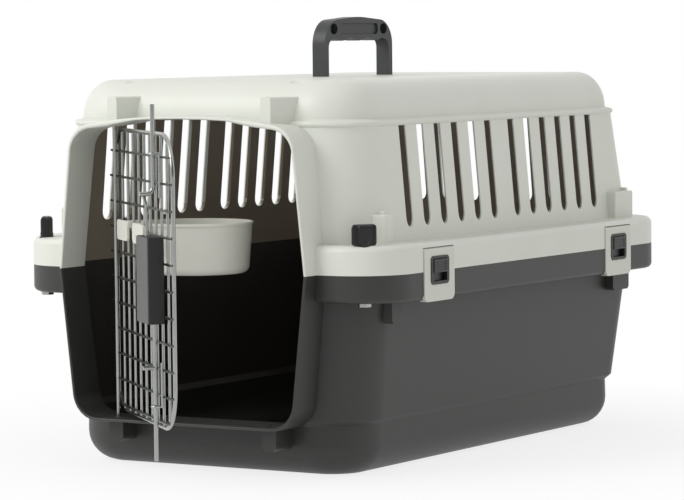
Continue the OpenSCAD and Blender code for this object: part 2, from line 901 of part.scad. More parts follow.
// The lower rod runs straight down from the grip, with a finger pull of its own
module lower_latch_rod() {
    color("silver")
        in_door() {
            wire([latch_u, latch_out, rod_low], [latch_u, latch_out, tab_z(-1) + plug_h / 2], rod_d);
            wire([latch_u, latch_out, lower_pull_z], [latch_u, latch_out + pull_reach - 1, lower_pull_z],
                rod_d - eps);
        }
}

spring_d = 7;
spring_wire = 1;

// The spring that pushes the two tabs apart, drawn in its rest length
module latch_spring() {
    color("gray")
        in_door()
            translate([latch_u, latch_out, grip_z])
                difference() {
                    cylinder(d = spring_d, h = 2 * plug_reach - 0.4, center = true);
                    cylinder(d = spring_d - 2 * spring_wire, h = 2 * plug_reach + 1, center = true);
                }
}

// Food cup
cup_u = 72;
hook_z = cross_low + cross_pitch * 7;
cup_rim_z = hook_z + 7.5;
cup_low = cup_rim_z - cup_h;
cup_rim_over = 1;
cup_gap = 0.3;
cup_out = upright_out - upright_d / 2 - cup_gap - cup_rim_over - cup_d / 2;
hook_rest = 0.3;
hook_t = 2;
flap_w = 42;
flap_drop = cup_lift + 4;
flap_back = cross_out + cross_d / 2 + hook_rest;
// Each hook passes between an upright and the next; its flap starts this far before that upright
HOOKS = [[2, 22], [4, 4]];

module cup_body(r, z_low, z_high, edge) {
    translate([cup_u, cup_out, 0])
        rotate_extrude()
            polygon(concat(
                [[0, z_low]],
                [for (a = [0:15:90])
                    [r - 3 - edge + edge * sin(a), z_low + edge - edge * cos(a)]],
                [[r, z_high], [0, z_high]]));
}

// A bridge between two uprights and its flap in front of the cross wire
module cup_hook(u, lead) {
    bridge_low = hook_z + cross_d / 2 + hook_rest;
    bridge_left = u + upright_d / 2 + 0.6;
    bridge_right = u + upright_pitch - upright_d / 2 - 0.6;
    box([bridge_left, cup_out + cup_d / 4, bridge_low], [bridge_right, flap_back + hook_t, cup_rim_z]);
    translate([u - lead, flap_back + hook_t, 0])
        rotate([90, 0, 0])
            linear_extrude(hook_t)
                polygon(rounded([
                    [0, cup_rim_z - flap_drop, 4],
                    [flap_w, cup_rim_z - flap_drop, 4],
                    [flap_w, cup_rim_z, 4],
                    [0, cup_rim_z, 4]]));
}

module food_cup() {
    color("antiquewhite")
        in_door()
            difference() {
                union() {
                    cup_body(cup_d / 2, cup_low, cup_rim_z, 7);
                    translate([cup_u, cup_out, cup_rim_z - 2.5])
                        cylinder(r = cup_d / 2 + cup_rim_over, h = 2.5, $fn = 96);
                    for (hook = HOOKS)
                        cup_hook(upright_start + upright_pitch * hook[0], hook[1]);
                }
                cup_body(cup_d / 2 - cup_wall, cup_low + cup_wall, cup_rim_z + 20, 6);
            }
}

// Handle
module handle_outline(off) {
    half = handle_l / 2;
    polygon(rounded([
        [-half + off, leg_foot_z, 0],
        [-half + leg_t - off, leg_foot_z, 0],
        [-half + leg_t - off, handle_top - bar_h + off, 8],
        [-half / 2, handle_top - bar_h + 1.5 + off, 12],
        [0, handle_top - bar_h - 1 + off, 12],
        [half / 2, handle_top - bar_h + 1.5 + off, 12],
        [half - leg_t + off, handle_top - bar_h + off, 8],
        [half - leg_t + off, leg_foot_z, 0],
        [half - off, leg_foot_z, 0],
        [half - off, handle_top - 5 - off, 18],
        [0, handle_top - off, 120],
        [-half + off, handle_top - 5 - off, 18]]));
}

module along_x(low, high) {
    translate([low, 0, 0])
        rotate([90, 0, 90])
            linear_extrude(high - low)
                children();
}

web_t = 3;
recess_low = handle_top - bar_h + 5;
recess_high = handle_top - 6;
end_pocket = [handle_l / 2 - leg_t - 15.5, handle_l / 2 - leg_t];
palm_half_l = end_pocket[0] - 4.5;
palm_t = handle_w - 4;

// The bar has a deep pocket at each end and a shallow palm recess between them
module carry_handle() {
    color("dimgray")
        difference() {
            along_x(-handle_w / 2, handle_w / 2)
                handle_outline(0);
            for (side = [0, 1], end = [0, 1])
                mirror([side, 0, 0])
                    mirror([0, end, 0])
                        box([web_t / 2, end_pocket[0], recess_low],
                            [handle_w / 2 + cut, end_pocket[1], recess_high]);
            for (side = [0, 1])
                mirror([side, 0, 0])
                    box([palm_t / 2, -palm_half_l, recess_low],
                        [handle_w / 2 + cut, palm_half_l, recess_high]);
        }
}

// Stops that snap across the legs under the roof
module handle_stops() {
    color("dimgray")
        for (y = [-leg_y, leg_y])
            difference() {
                box([-handle_w / 2 - 5, y - leg_t / 2 - 2, leg_foot_z - 4],
                    [handle_w / 2 + 5, y + leg_t / 2 + 2, leg_foot_z + 3.6]);
                box([-handle_w / 2, y - leg_t / 2, leg_foot_z],
                    [handle_w / 2, y + leg_t / 2, leg_foot_z + 5]);
            }
}

module clip_plate_front_right() { clip_plate(0); }
module clip_plate_rear_right() { clip_plate(1); }
module clip_plate_front_left() { clip_plate(2); }
module clip_plate_rear_left() { clip_plate(3); }
module clip_bezel_front_right() { clip_bezel(0); }
module clip_bezel_rear_right() { clip_bezel(1); }
module clip_bezel_front_left() { clip_bezel(2); }
module clip_bezel_rear_left() { clip_bezel(3); }
module clip_lock_front_right() { clip_lock(0); }
module clip_lock_rear_right() { clip_lock(1); }
module clip_lock_front_left() { clip_lock(2); }
module clip_lock_rear_left() { clip_lock(3); }
module knob_right() { knob(1); }
module knob_left() { knob(-1); }
module upper_tab() { latch_tab(1); }
module lower_tab() { latch_tab(-1); }

lower_tub();
upper_shell();
clip_pins();
bolts();
clip_plate_front_right();
clip_plate_rear_right();
clip_plate_front_left();
clip_plate_rear_left();
clip_bezel_front_right();
clip_bezel_rear_right();
clip_bezel_front_left();
clip_bezel_rear_left();
clip_lock_front_right();
clip_lock_rear_right();
clip_lock_front_left();
clip_lock_rear_left();
knob_right();
knob_left();
door_frame();
door_uprights();
door_crossbars();
hinge_rod();
rod_guides();
grip_case();
latch_spring();
upper_tab();
lower_tab();
upper_latch_rod();
lower_latch_rod();
food_cup();
carry_handle();
handle_stops();
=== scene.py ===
"""Looks of the two-shell bird travel carrier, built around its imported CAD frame.

Sizes are in millimetres in this file and become metres when a mesh is made. The frame is the
CAD's own: the origin is the bottom centre of the base, the door faces -Y and +Z is up.
"""

import logging
import math
from dataclasses import dataclass, field
from enum import Enum
from functools import lru_cache
from typing import Callable, Iterable, Optional, Sequence

import bmesh
import bpy
from mathutils import Matrix, Vector


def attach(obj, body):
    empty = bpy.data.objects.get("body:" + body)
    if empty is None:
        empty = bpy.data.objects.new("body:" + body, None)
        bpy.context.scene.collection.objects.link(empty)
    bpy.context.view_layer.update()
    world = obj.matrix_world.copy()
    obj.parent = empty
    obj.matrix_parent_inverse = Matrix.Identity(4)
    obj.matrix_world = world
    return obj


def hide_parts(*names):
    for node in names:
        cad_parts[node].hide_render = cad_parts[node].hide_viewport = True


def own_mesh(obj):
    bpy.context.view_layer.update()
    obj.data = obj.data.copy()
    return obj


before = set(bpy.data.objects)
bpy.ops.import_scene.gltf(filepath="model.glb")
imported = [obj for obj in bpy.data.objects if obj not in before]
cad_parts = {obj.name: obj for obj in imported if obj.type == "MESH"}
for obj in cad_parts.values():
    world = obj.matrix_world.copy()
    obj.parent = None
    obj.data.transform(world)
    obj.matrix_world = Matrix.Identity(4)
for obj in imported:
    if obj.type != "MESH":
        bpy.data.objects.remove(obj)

logging.basicConfig(level=logging.INFO, format="%(name)s: %(message)s")
LOG = logging.getLogger("carrier")

MM = 0.001
Point = tuple[float, float, float]
Flat = tuple[float, float]
Level = tuple[float, float, float, float, float, float]
Obj = bpy.types.Object
Tree = bpy.types.NodeTree
Socket = bpy.types.NodeSocket


class Body(Enum):
    """The CAD bodies that pieces ride on."""

    SHELLS = "shells"
    DOOR = "door"
    UPPER_LATCH = "upper_latch"
    LOWER_LATCH = "lower_latch"
    CUP = "cup"
    HANDLE = "handle"


class Slot(Enum):
    """The record's material slots."""

    UPPER = "upper_shell"
    TUB = "tub"
    CLIP = "clip"
    TRIM = "clip_trim"
    KNOB = "knob"
    STEEL = "steel"
    WIRE = "wire"
    GRIP = "grip"
    TAB = "tab"
    CUP = "cup"
    HANDLE = "handle"


# ---- Finishes


def linear(hex_colour: str) -> tuple[float, float, float, float]:
    """Turns an sRGB hex colour into linear RGBA.

    Args:
        hex_colour: six hex digits after a hash sign.

    Returns:
        The linear colour with an alpha of 1.
    """
    channels = [int(hex_colour[i:i + 2], 16) / 255 for i in (1, 3, 5)]
    return (*(c / 12.92 if c <= 0.04045 else ((c + 0.055) / 1.055) ** 2.4 for c in channels), 1.0)


def node(tree: Tree, kind: str, inputs: dict, **settings) -> bpy.types.Node:
    """Adds one node with its settings, values and links.

    Args:
        tree: the node tree.
        kind: the node's type name.
        inputs: input name or index to a value or to another node's output.
        settings: the node's own properties.

    Returns:
        The new node.
    """
    made = tree.nodes.new(kind)
    for name, value in settings.items():
        setattr(made, name, value)
    for key, value in inputs.items():
        if isinstance(value, Socket):
            tree.links.new(value, made.inputs[key])
        else:
            made.inputs[key].default_value = value
    return made


@dataclass(frozen=True)
class Finish:
    """What every finish shares: two tones that drift into each other, and a fine relief."""

    name: str
    colour: str
    drift: str
    roughness: float
    grain_mm: float = 1.1
    grain_depth_mm: float = 0.035
    grain_rough: float = 0.55
    drift_mm: float = 90.0
    drift_detail: float = 3.0
    drift_rough: float = 0.6
    relief: float = 0.5
    duller: float = 0.07

    def placed(self, tree: Tree, where: Socket) -> Socket:
        """The coordinates of the relief."""
        return where

    def tinted(self, tree: Tree, colour: Socket) -> Socket:
        """The colour with the painted shade that only some kinds of finish add."""
        return colour

    def settle(self, shader: bpy.types.Node) -> None:
        """Sets what is the same all over the surface."""

    def material(self) -> bpy.types.Material:
        """Builds the material, or returns the one built before."""
        made = bpy.data.materials.get(self.name)
        if made:
            return made
        made = bpy.data.materials.new(self.name)
        made.use_nodes = True
        tree = made.node_tree
        shader = tree.nodes["Principled BSDF"]
        where = node(tree, "ShaderNodeTexCoord", {}).outputs["Object"]
        drift = node(tree, "ShaderNodeTexNoise", {
            "Vector": where, "Scale": 1 / (self.drift_mm * MM), "Detail": self.drift_detail,
            "Roughness": self.drift_rough})
        colour = node(tree, "ShaderNodeMix", {
            0: drift.outputs["Fac"], 6: linear(self.colour), 7: linear(self.drift)},
            data_type="RGBA").outputs[2]
        # The relief is finer than a pixel, so it is drawn at about one pixel
        grain = node(tree, "ShaderNodeTexNoise", {
            "Vector": self.placed(tree, where), "Scale": 1 / (self.grain_mm * MM), "Detail": 2.0,
            "Roughness": self.grain_rough})
        rough = node(tree, "ShaderNodeMapRange", {
            "Value": grain.outputs["Fac"], "To Min": self.roughness - 0.05,
            "To Max": self.roughness + self.duller})
        bump = node(tree, "ShaderNodeBump", {
            "Height": grain.outputs["Fac"], "Strength": self.relief,
            "Distance": self.grain_depth_mm * MM})
        tree.links.new(self.tinted(tree, colour), shader.inputs["Base Color"])
        tree.links.new(rough.outputs["Result"], shader.inputs["Roughness"])
        tree.links.new(bump.outputs["Normal"], shader.inputs["Normal"])
        self.settle(shader)
        return made


@dataclass(frozen=True)
class Plastic(Finish):
    """Injection-moulded plastic with a spark-eroded grain: satin, with faint tone drift."""

    # The colour of the painted shade on faces that look into the cabin
    inside: Optional[str] = None

    def tinted(self, tree: Tree, colour: Socket) -> Socket:
        """The colour, with a darker painted shade colour on faces that look into the cabin."""
        if not self.inside:
            return colour
        # Painted shade: faces that the inside attribute marks as looking into the cabin take the inside
        # colour
        inner = node(tree, "ShaderNodeAttribute", {}, attribute_name="inside")
        return node(tree, "ShaderNodeMix", {
            0: inner.outputs["Fac"], 6: colour, 7: linear(self.inside)}, data_type="RGBA").outputs[2]

    def settle(self, shader: bpy.types.Node) -> None:
        """Sets the refractive index of polypropylene and nylon."""
        shader.inputs["IOR"].default_value = 1.49


@dataclass(frozen=True)
class PlatedSteel(Finish):
    """Drawn steel wire under bright zinc: mirror-like along its sides, with fine drawing lines."""

    grain_mm: float = 0.5
    grain_depth_mm: float = 0.01
    grain_rough: float = 0.5
    drift_mm: float = 24.0
    drift_detail: float = 4.0
    drift_rough: float = 0.5
    relief: float = 0.3
    duller: float = 0.08

    def placed(self, tree: Tree, where: Socket) -> Socket:
        """Stretches the relief upwards: drawing lines run along the wire, and most wires stand."""
        return node(tree, "ShaderNodeMapping", {
            "Vector": where, "Scale": (1.0, 1.0, 0.06)}).outputs["Vector"]

    def settle(self, shader: bpy.types.Node) -> None:
        """Makes it a metal."""
        shader.inputs["Metallic"].default_value = 1.0


# Satin polypropylene, off-white: soft broad highlights; the faces that look into the cabin take a
# darker, warmer colour as painted shade
SHELL_FINISH = Plastic("polypropylene_off_white", "#D9DBD3", "#D1D3C9", 0.42, inside="#AEA391")
CLIP_FINISH = Plastic("polypropylene_clip_white", "#D1D2C9", "#CACBC1", 0.4)
# Satin polypropylene, dark grey: the same moulding grain shows a grey bloom at grazing angles; the faces
# that look into the cabin take a warmer colour as painted shade
TUB_FINISH = Plastic("polypropylene_dark_grey", "#353734", "#30322F", 0.46, inside="#35322E")
# Glass-filled nylon, near black: harder sheen and small glints on its ridges
TRIM_FINISH = Plastic("nylon_black", "#202020", "#1B1B1B", 0.38, grain_mm=0.8)
SLIDER_FINISH = Plastic("nylon_black_slider", "#1D1D1C", "#191918", 0.36, grain_mm=0.8)
BEZEL_FINISH = Plastic("nylon_black_bezel", "#262624", "#20201E", 0.42, grain_mm=0.8)
GRIP_FINISH = Plastic("nylon_grip_black", "#1F1F1F", "#1B1B1B", 0.42, grain_mm=0.9)
# The same nylon in greys: the roof handle, and the lighter plate on the grip's face
HANDLE_FINISH = Plastic("nylon_handle_grey", "#363938", "#303332", 0.45, grain_mm=0.9)
COVER_FINISH = Plastic("nylon_cover_grey", "#575855", "#50514E", 0.5, grain_mm=0.9)
# The cup's polypropylene, smoother and warmer than the shell's
CUP_FINISH = Plastic("polypropylene_cup", "#D9D8CF", "#D3D2C8", 0.38)
# Bright zinc on the door's frame, uprights and rods, the same zinc with a painted darker shade on its
# thin cross wires for the dim reflection that they catch, and a duller one on bolts, pins and the spring
WIRE_FINISH = PlatedSteel("zinc_plated_wire", "#B4B6B3", "#9A9C98", 0.22)
CROSS_PAINTED_SHADE_FINISH = PlatedSteel("zinc_plated_cross_wire", "#7E807D", "#6C6E6A", 0.3)
BOLT_FINISH = PlatedSteel("zinc_plated_bolt", "#B9BAB6", "#A2A39E", 0.27)


# ---- Mesh making


def linked(name: str, data: bpy.types.ID) -> Obj:
    """An object with this data, linked to the scene."""
    made = bpy.data.objects.new(name, data)
    bpy.context.scene.collection.objects.link(made)
    return made


def mesh_object(name: str, points: Sequence[Point], faces: Sequence[Sequence[int]],
                edges: Sequence[tuple[int, int]] = ()) -> Obj:
    """Makes an object at the origin from points in millimetres.

    Args:
        name: the object's name.
        points: the vertices, in millimetres.
        faces: vertex indices of each face.
        edges: vertex indices of each edge that belongs to no face.

    Returns:
        The linked object.
    """
    mesh = bpy.data.meshes.new(name)
    mesh.from_pydata([(x * MM, y * MM, z * MM) for x, y, z in points], list(edges), faces)
    return linked(name, mesh)


def drop(*objects: Obj) -> None:
    """Removes helper objects and their meshes."""
    for each in objects:
        mesh = each.data
        bpy.data.objects.remove(each)
        if mesh.users == 0:
            bpy.data.meshes.remove(mesh)


def baked(source: Obj) -> Obj:
    """Applies all modifiers of an object to its mesh, and takes the modifiers off."""
    graph = bpy.context.evaluated_depsgraph_get()
    graph.update()
    mesh = bpy.data.meshes.new_from_object(source.evaluated_get(graph))
    old = source.data
    source.modifiers.clear()
    source.data = mesh
    if old.users == 0:
        bpy.data.meshes.remove(old)
    mesh.name = source.name
    return source


def edit(target: Obj, change: Callable[[bmesh.types.BMesh], None]) -> Obj:
    """Runs one bmesh change on an object's mesh and returns the object."""
    work = bmesh.new()
    work.from_mesh(target.data)
    change(work)
    work.to_mesh(target.data)
    work.free()
    return target


def facing_out(target: Obj) -> Obj:
    """Turns every face of a closed mesh outwards."""
    return edit(target, lambda work: bmesh.ops.recalc_face_normals(work, faces=work.faces))


def skin(name: str, rings: Sequence[Sequence[Point]]) -> Obj:
    """Closes a row of equal rings into a solid with flat ends.

    Args:
        name: the object's name.
        rings: rings of points, each with as many points as the others.

    Returns:
        The solid, with its faces outwards.
    """
    count = len(rings[0])
    points = [p for ring in rings for p in ring]
    faces = [
        (first + i, first + (i + 1) % count, first + count + (i + 1) % count, first + count + i)
        for first in range(0, len(points) - count, count) for i in range(count)]
    faces.append(tuple(range(count - 1, -1, -1)))
    faces.append(tuple((len(rings) - 1) * count + i for i in range(count)))
    return facing_out(mesh_object(name, points, faces))


def arc(cx: float, cy: float, r: float, start: float, sweep: float, steps: int) -> list[Flat]:
    """Points on an arc in a plane, from start through sweep degrees."""
    return [
        (cx + r * math.cos(math.radians(start + sweep * i / steps)),
         cy + r * math.sin(math.radians(start + sweep * i / steps))) for i in range(steps + 1)]


def rounded(corners: Sequence[tuple[float, float, float]], steps: int = 8) -> list[Flat]:
    """Rounds the corners of a polygon.

    Args:
        corners: x, y and radius of each corner, in order.
        steps: segments in each rounded corner.

    Returns:
        The polygon's points.
    """
    out: list[Flat] = []
    count = len(corners)
    for i, (x, y, r) in enumerate(corners):
        here = Vector((x, y))
        before = (Vector(corners[i - 1][:2]) - here).normalized()
        after = (Vector(corners[(i + 1) % count][:2]) - here).normalized()
        if r <= 0:
            out.append((x, y))
            continue
        half = before.angle(after) / 2
        middle = here + (before + after).normalized() * (r / math.sin(half))
        first = here + before * (r / math.tan(half)) - middle
        last = here + after * (r / math.tan(half)) - middle
        for k in range(steps + 1):
            t = k / steps
            spoke = (first * (1 - t) + last * t).normalized() * r
            out.append((middle.x + spoke.x, middle.y + spoke.y))
    return out


def panel(left: float, right: float, low: float, high: float, r: float,
          r_high: Optional[float] = None, steps: int = 8) -> list[Flat]:
    """A rectangle with rounded corners.

    Args:
        left: its left edge.
        right: its right edge.
        low: its lower edge.
        high: its upper edge.
        r: the corners' radius.
        r_high: the upper corners' radius, where it is another one.
        steps: segments in each rounded corner.

    Returns:
        The rectangle's points.
    """
    top = r if r_high is None else r_high
    return rounded([(left, low, r), (right, low, r), (right, high, top), (left, high, top)], steps)


def box(name: str, low: Point, high: Point, r: float = 0.0, steps: int = 3) -> Obj:
    """A block between two corners, with its edges rounded by r."""
    (x0, y0, z0), (x1, y1, z1) = low, high
    made = skin(name, [
        [(x0, y0, z0), (x1, y0, z0), (x1, y1, z0), (x0, y1, z0)],
        [(x0, y0, z1), (x1, y0, z1), (x1, y1, z1), (x0, y1, z1)]])
    if r > 0:
        edit(made, lambda work: bmesh.ops.bevel(
            work, geom=work.edges[:], offset=r * MM, segments=steps, profile=0.5, affect="EDGES"))
    return made


def rod(name: str, start: Point, end: Point, d: float, around: int = 24) -> Obj:
    """A round rod between two points."""
    turn = Vector((0, 0, 1)).rotation_difference(Vector(end) - Vector(start)).to_matrix()
    circle = arc(0, 0, d / 2, 0, 360, around)[:-1]
    return skin(name, [
        [tuple(Vector(centre) + turn @ Vector((x, y, 0))) for x, y in circle]
        for centre in (start, end)])


def prism_x(name: str, outline: Sequence[Flat], low: float, high: float) -> Obj:
    """An outline in Y and Z, drawn out along X."""
    return skin(name, [[(x, y, z) for y, z in outline] for x in (low, high)])


def prism_y(name: str, outline: Sequence[Flat], low: float, high: float) -> Obj:
    """An outline in X and Z, drawn out along Y."""
    return skin(name, [[(x, y, z) for x, z in outline] for y in (low, high)])


def spun(name: str, profile: Sequence[Flat], centre: Flat, around: int = 96) -> Obj:
    """A profile of radius and height spun about a vertical axis; it starts and ends on the axis."""
    cx, cy = centre
    points: list[Point] = [(cx, cy, profile[0][1])]
    faces: list[tuple[int, ...]] = []
    rings = profile[1:-1]
    for r, z in rings:
        points += [(cx + x, cy + y, z) for x, y in arc(0, 0, r, 0, 360, around)[:-1]]
    points.append((cx, cy, profile[-1][1]))
    last = len(points) - 1
    for i in range(around):
        j = (i + 1) % around
        faces.append((0, 1 + j, 1 + i))
        for k in range(len(rings) - 1):
            a, b = 1 + k * around, 1 + (k + 1) * around
            faces.append((a + i, a + j, b + j, b + i))
        top = 1 + (len(rings) - 1) * around
        faces.append((top + i, top + j, last))
    return facing_out(mesh_object(name, points, faces))


class Cut(Enum):
    """What a boolean step does with its tool."""

    ADD = "UNION"
    TAKE = "DIFFERENCE"
    KEEP = "INTERSECT"


def carve(target: Obj, steps: Iterable[tuple[Cut, Obj]]) -> Obj:
    """Adds and cuts away solids, in order, and removes the tools.

    Args:
        target: the solid to work on.
        steps: what to do and with which solid.

    Returns:
        The target with its new mesh.
    """
    tools = []
    for action, tool in steps:
        step = target.modifiers.new(action.name, "BOOLEAN")
        step.operation = action.value
        step.solver = "MANIFOLD"
        step.object = tool
        tools.append(tool)
    baked(target)
    drop(*tools)
    return target


def softened(target: Obj, width: float, angle: float = 38.0, steps: int = 2) -> Obj:
    """Rounds every edge sharper than an angle, and evens the shading of the flats between them.

    Args:
        target: the solid.
        width: the rounding, in millimetres.
        angle: the least angle that is rounded, in degrees.
        steps: segments in the rounding.

    Returns:
        The same object.
    """
    edit(target, lambda work: bmesh.ops.remove_doubles(work, verts=work.verts, dist=0.02 * MM))
    edit(target, lambda work: bmesh.ops.dissolve_limit(
        work, angle_limit=math.radians(0.4), verts=work.verts, edges=work.edges))
    if width > 0:
        bevel = target.modifiers.new("edges", "BEVEL")
        bevel.limit_method = "ANGLE"
        bevel.angle_limit = math.radians(angle)
        bevel.width = width * MM
        bevel.segments = steps
        bevel.use_clamp_overlap = True
        baked(target)
    return shaded(target)


def shaded(target: Obj, angle: float = 35.0) -> Obj:
    """Shades smoothly up to an angle, with each flat's own normal kept."""
    target.data.shade_smooth()
    target.data.set_sharp_from_angle(angle=math.radians(angle))
    even = target.modifiers.new("even", "WEIGHTED_NORMAL")
    even.keep_sharp = True
    even.weight = 60
    return baked(target)


def dressed(piece: Obj, finish: Finish, body: str,
            replaced: Sequence[str] = ()) -> Obj:
    """Gives a finished piece its material, its body and the nodes it stands for.

    Args:
        piece: the finished mesh object.
        finish: what it is made of.
        body: the CAD body that it rides on.
        replaced: the CAD nodes that it stands for.

    Returns:
        The same object.
    """
    piece.data.materials.clear()
    piece.data.materials.append(finish.material())
    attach(piece, body)
    if replaced:
        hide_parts(*replaced)
    LOG.info("%s: %d faces on %s", piece.name, len(piece.data.polygons), body)
    return piece


def joined(name: str, parts: Sequence[Obj]) -> Obj:
    """One mesh from several, without welding them."""
    work = bmesh.new()
    for part in parts:
        work.from_mesh(part.data)
    mesh = bpy.data.meshes.new(name)
    work.to_mesh(mesh)
    work.free()
    drop(*parts)
    return linked(name, mesh)


def moved(target: Obj, place: Matrix) -> Obj:
    """Moves a mesh's vertices; a mirrored one gets its faces turned back."""
    target.data.transform(place)
    if place.determinant() < 0:
        target.data.flip_normals()
    return target


def sided(name: str, places: Iterable[tuple[int, Sequence]], make: Callable[..., Obj]) -> Obj:
    """Makes a part at each place on the right side, mirrors it where its side is -1, and joins all.

    Args:
        name: the joined object's name.
        places: each part's side, and the values that its maker takes.
        make: draws one part.

    Returns:
        One object with all the parts.
    """
    return joined(name, [
        moved(make(*where), Matrix.Diagonal((side, 1, 1, 1))) for side, where in places])


# ---- Geometry Nodes


class NodeShape:
    """A small Geometry Nodes tree with named sizes, and the mesh that it makes."""

    def __init__(self, name: str) -> None:
        """Starts a tree with a geometry input and output."""
        self.tree = bpy.data.node_groups.new(name, "GeometryNodeTree")
        self.tree.interface.new_socket("Geometry", in_out="INPUT", socket_type="NodeSocketGeometry")
        self.tree.interface.new_socket("Geometry", in_out="OUTPUT", socket_type="NodeSocketGeometry")
        self.start = self.tree.nodes.new("NodeGroupInput")
        self.end = self.tree.nodes.new("NodeGroupOutput")
        self.sizes: dict[str, str] = {}

    def size(self, name: str, kind: str = "Float") -> Socket:
        """Adds a named input and returns its socket inside the tree."""
        item = self.tree.interface.new_socket(name, in_out="INPUT", socket_type=f"NodeSocket{kind}")
        self.sizes[name] = item.identifier
        return self.start.outputs[name]

    def add(self, kind: str, inputs: dict, **settings) -> bpy.types.Node:
        """Adds a geometry node."""
        return node(self.tree, f"GeometryNode{kind}", inputs, **settings)

    def finish(self, geometry: Socket) -> None:
        """Ends the tree in real geometry with its material."""
        real = self.add("RealizeInstances", {"Geometry": geometry})
        material = self.size("Material", "Material")
        dressed_up = self.add("SetMaterial", {"Geometry": real.outputs[0], "Material": material})
        self.tree.links.new(dressed_up.outputs[0], self.end.inputs[0])

    def make(self, name: str, seed: Obj, material: bpy.types.Material, **sizes: float) -> Obj:
        """Runs the tree on a seed mesh and returns the result as a plain mesh object.

        Args:
            name: the new object's name.
            seed: the mesh that the tree starts from; it becomes the result.
            material: the material that the tree sets.
            sizes: values for the named inputs, in metres or counts.

        Returns:
            The object with the made mesh.
        """
        step = seed.modifiers.new(name, "NODES")
        step.node_group = self.tree
        step[self.sizes["Material"]] = material
        for key, value in sizes.items():
            step[self.sizes[key]] = value
        seed.name = name
        return baked(seed)


@lru_cache(maxsize=1)
def wire_shape() -> NodeShape:
    """A tree that draws a round wire along each run of edges."""
    shape = NodeShape("wire_runs")
    radius = shape.size("radius")
    around = shape.size("around", "Int")
    runs = shape.add("MeshToCurve", {"Mesh": shape.start.outputs[0]})
    ring = shape.add("CurvePrimitiveCircle", {"Resolution": around, "Radius": radius})
    wires = shape.add("CurveToMesh", {
        "Curve": runs.outputs[0], "Profile Curve": ring.outputs[0], "Fill Caps": True})
    shape.finish(wires.outputs[0])
    return shape


def bead_shape() -> NodeShape:
    """A tree that puts a small flattened weld bead on each point."""
    shape = NodeShape("weld_beads")
    radius = shape.size("radius")
    bead = shape.add("MeshIcoSphere", {"Radius": radius, "Subdivisions": 2})
    beads = shape.add("InstanceOnPoints", {
        "Points": shape.start.outputs[0], "Instance": bead.outputs[0], "Scale": (1.0, 1.0, 0.7)})
    shape.finish(beads.outputs[0])
    return shape


def row_shape() -> NodeShape:
    """A tree that repeats its seed in a straight row."""
    shape = NodeShape("row")
    count = shape.size("count", "Int")
    step = shape.size("step", "Vector")
    line = shape.add("MeshLine", {"Count": count, "Offset": step}, mode="OFFSET")
    row = shape.add("InstanceOnPoints", {"Points": line.outputs[0], "Instance": shape.start.outputs[0]})
    shape.finish(row.outputs[0])
    return shape


def path_seed(name: str, paths: Sequence[Sequence[Point]]) -> Obj:
    """Edges in millimetres as a seed for the wire tree; a run that ends at its start is closed."""
    points: list[Point] = []
    edges: list[tuple[int, int]] = []
    for path in paths:
        first = len(points)
        closed = path[0] == path[-1]
        points += path[:-1] if closed else path
        last = len(points) - 1
        edges += [(i, i + 1) for i in range(first, last)]
        if closed:
            edges.append((last, first))
    return mesh_object(name, points, [], edges)


def drawn(name: str, paths: Sequence[Sequence[Point]], d: float, around: int = 12,
          finish: Finish = WIRE_FINISH) -> Obj:
    """Draws round wires along paths.

    Args:
        name: the object's name.
        paths: the wires' middle lines, in millimetres.
        d: the wires' diameter, in millimetres.
        around: how many sides a wire has.
        finish: what the wires are made of.

    Returns:
        One object with all the wires.
    """
    return wire_shape().make(
        name, path_seed("seed", paths), finish.material(), radius=d / 2 * MM, around=around)


# ---- Shells


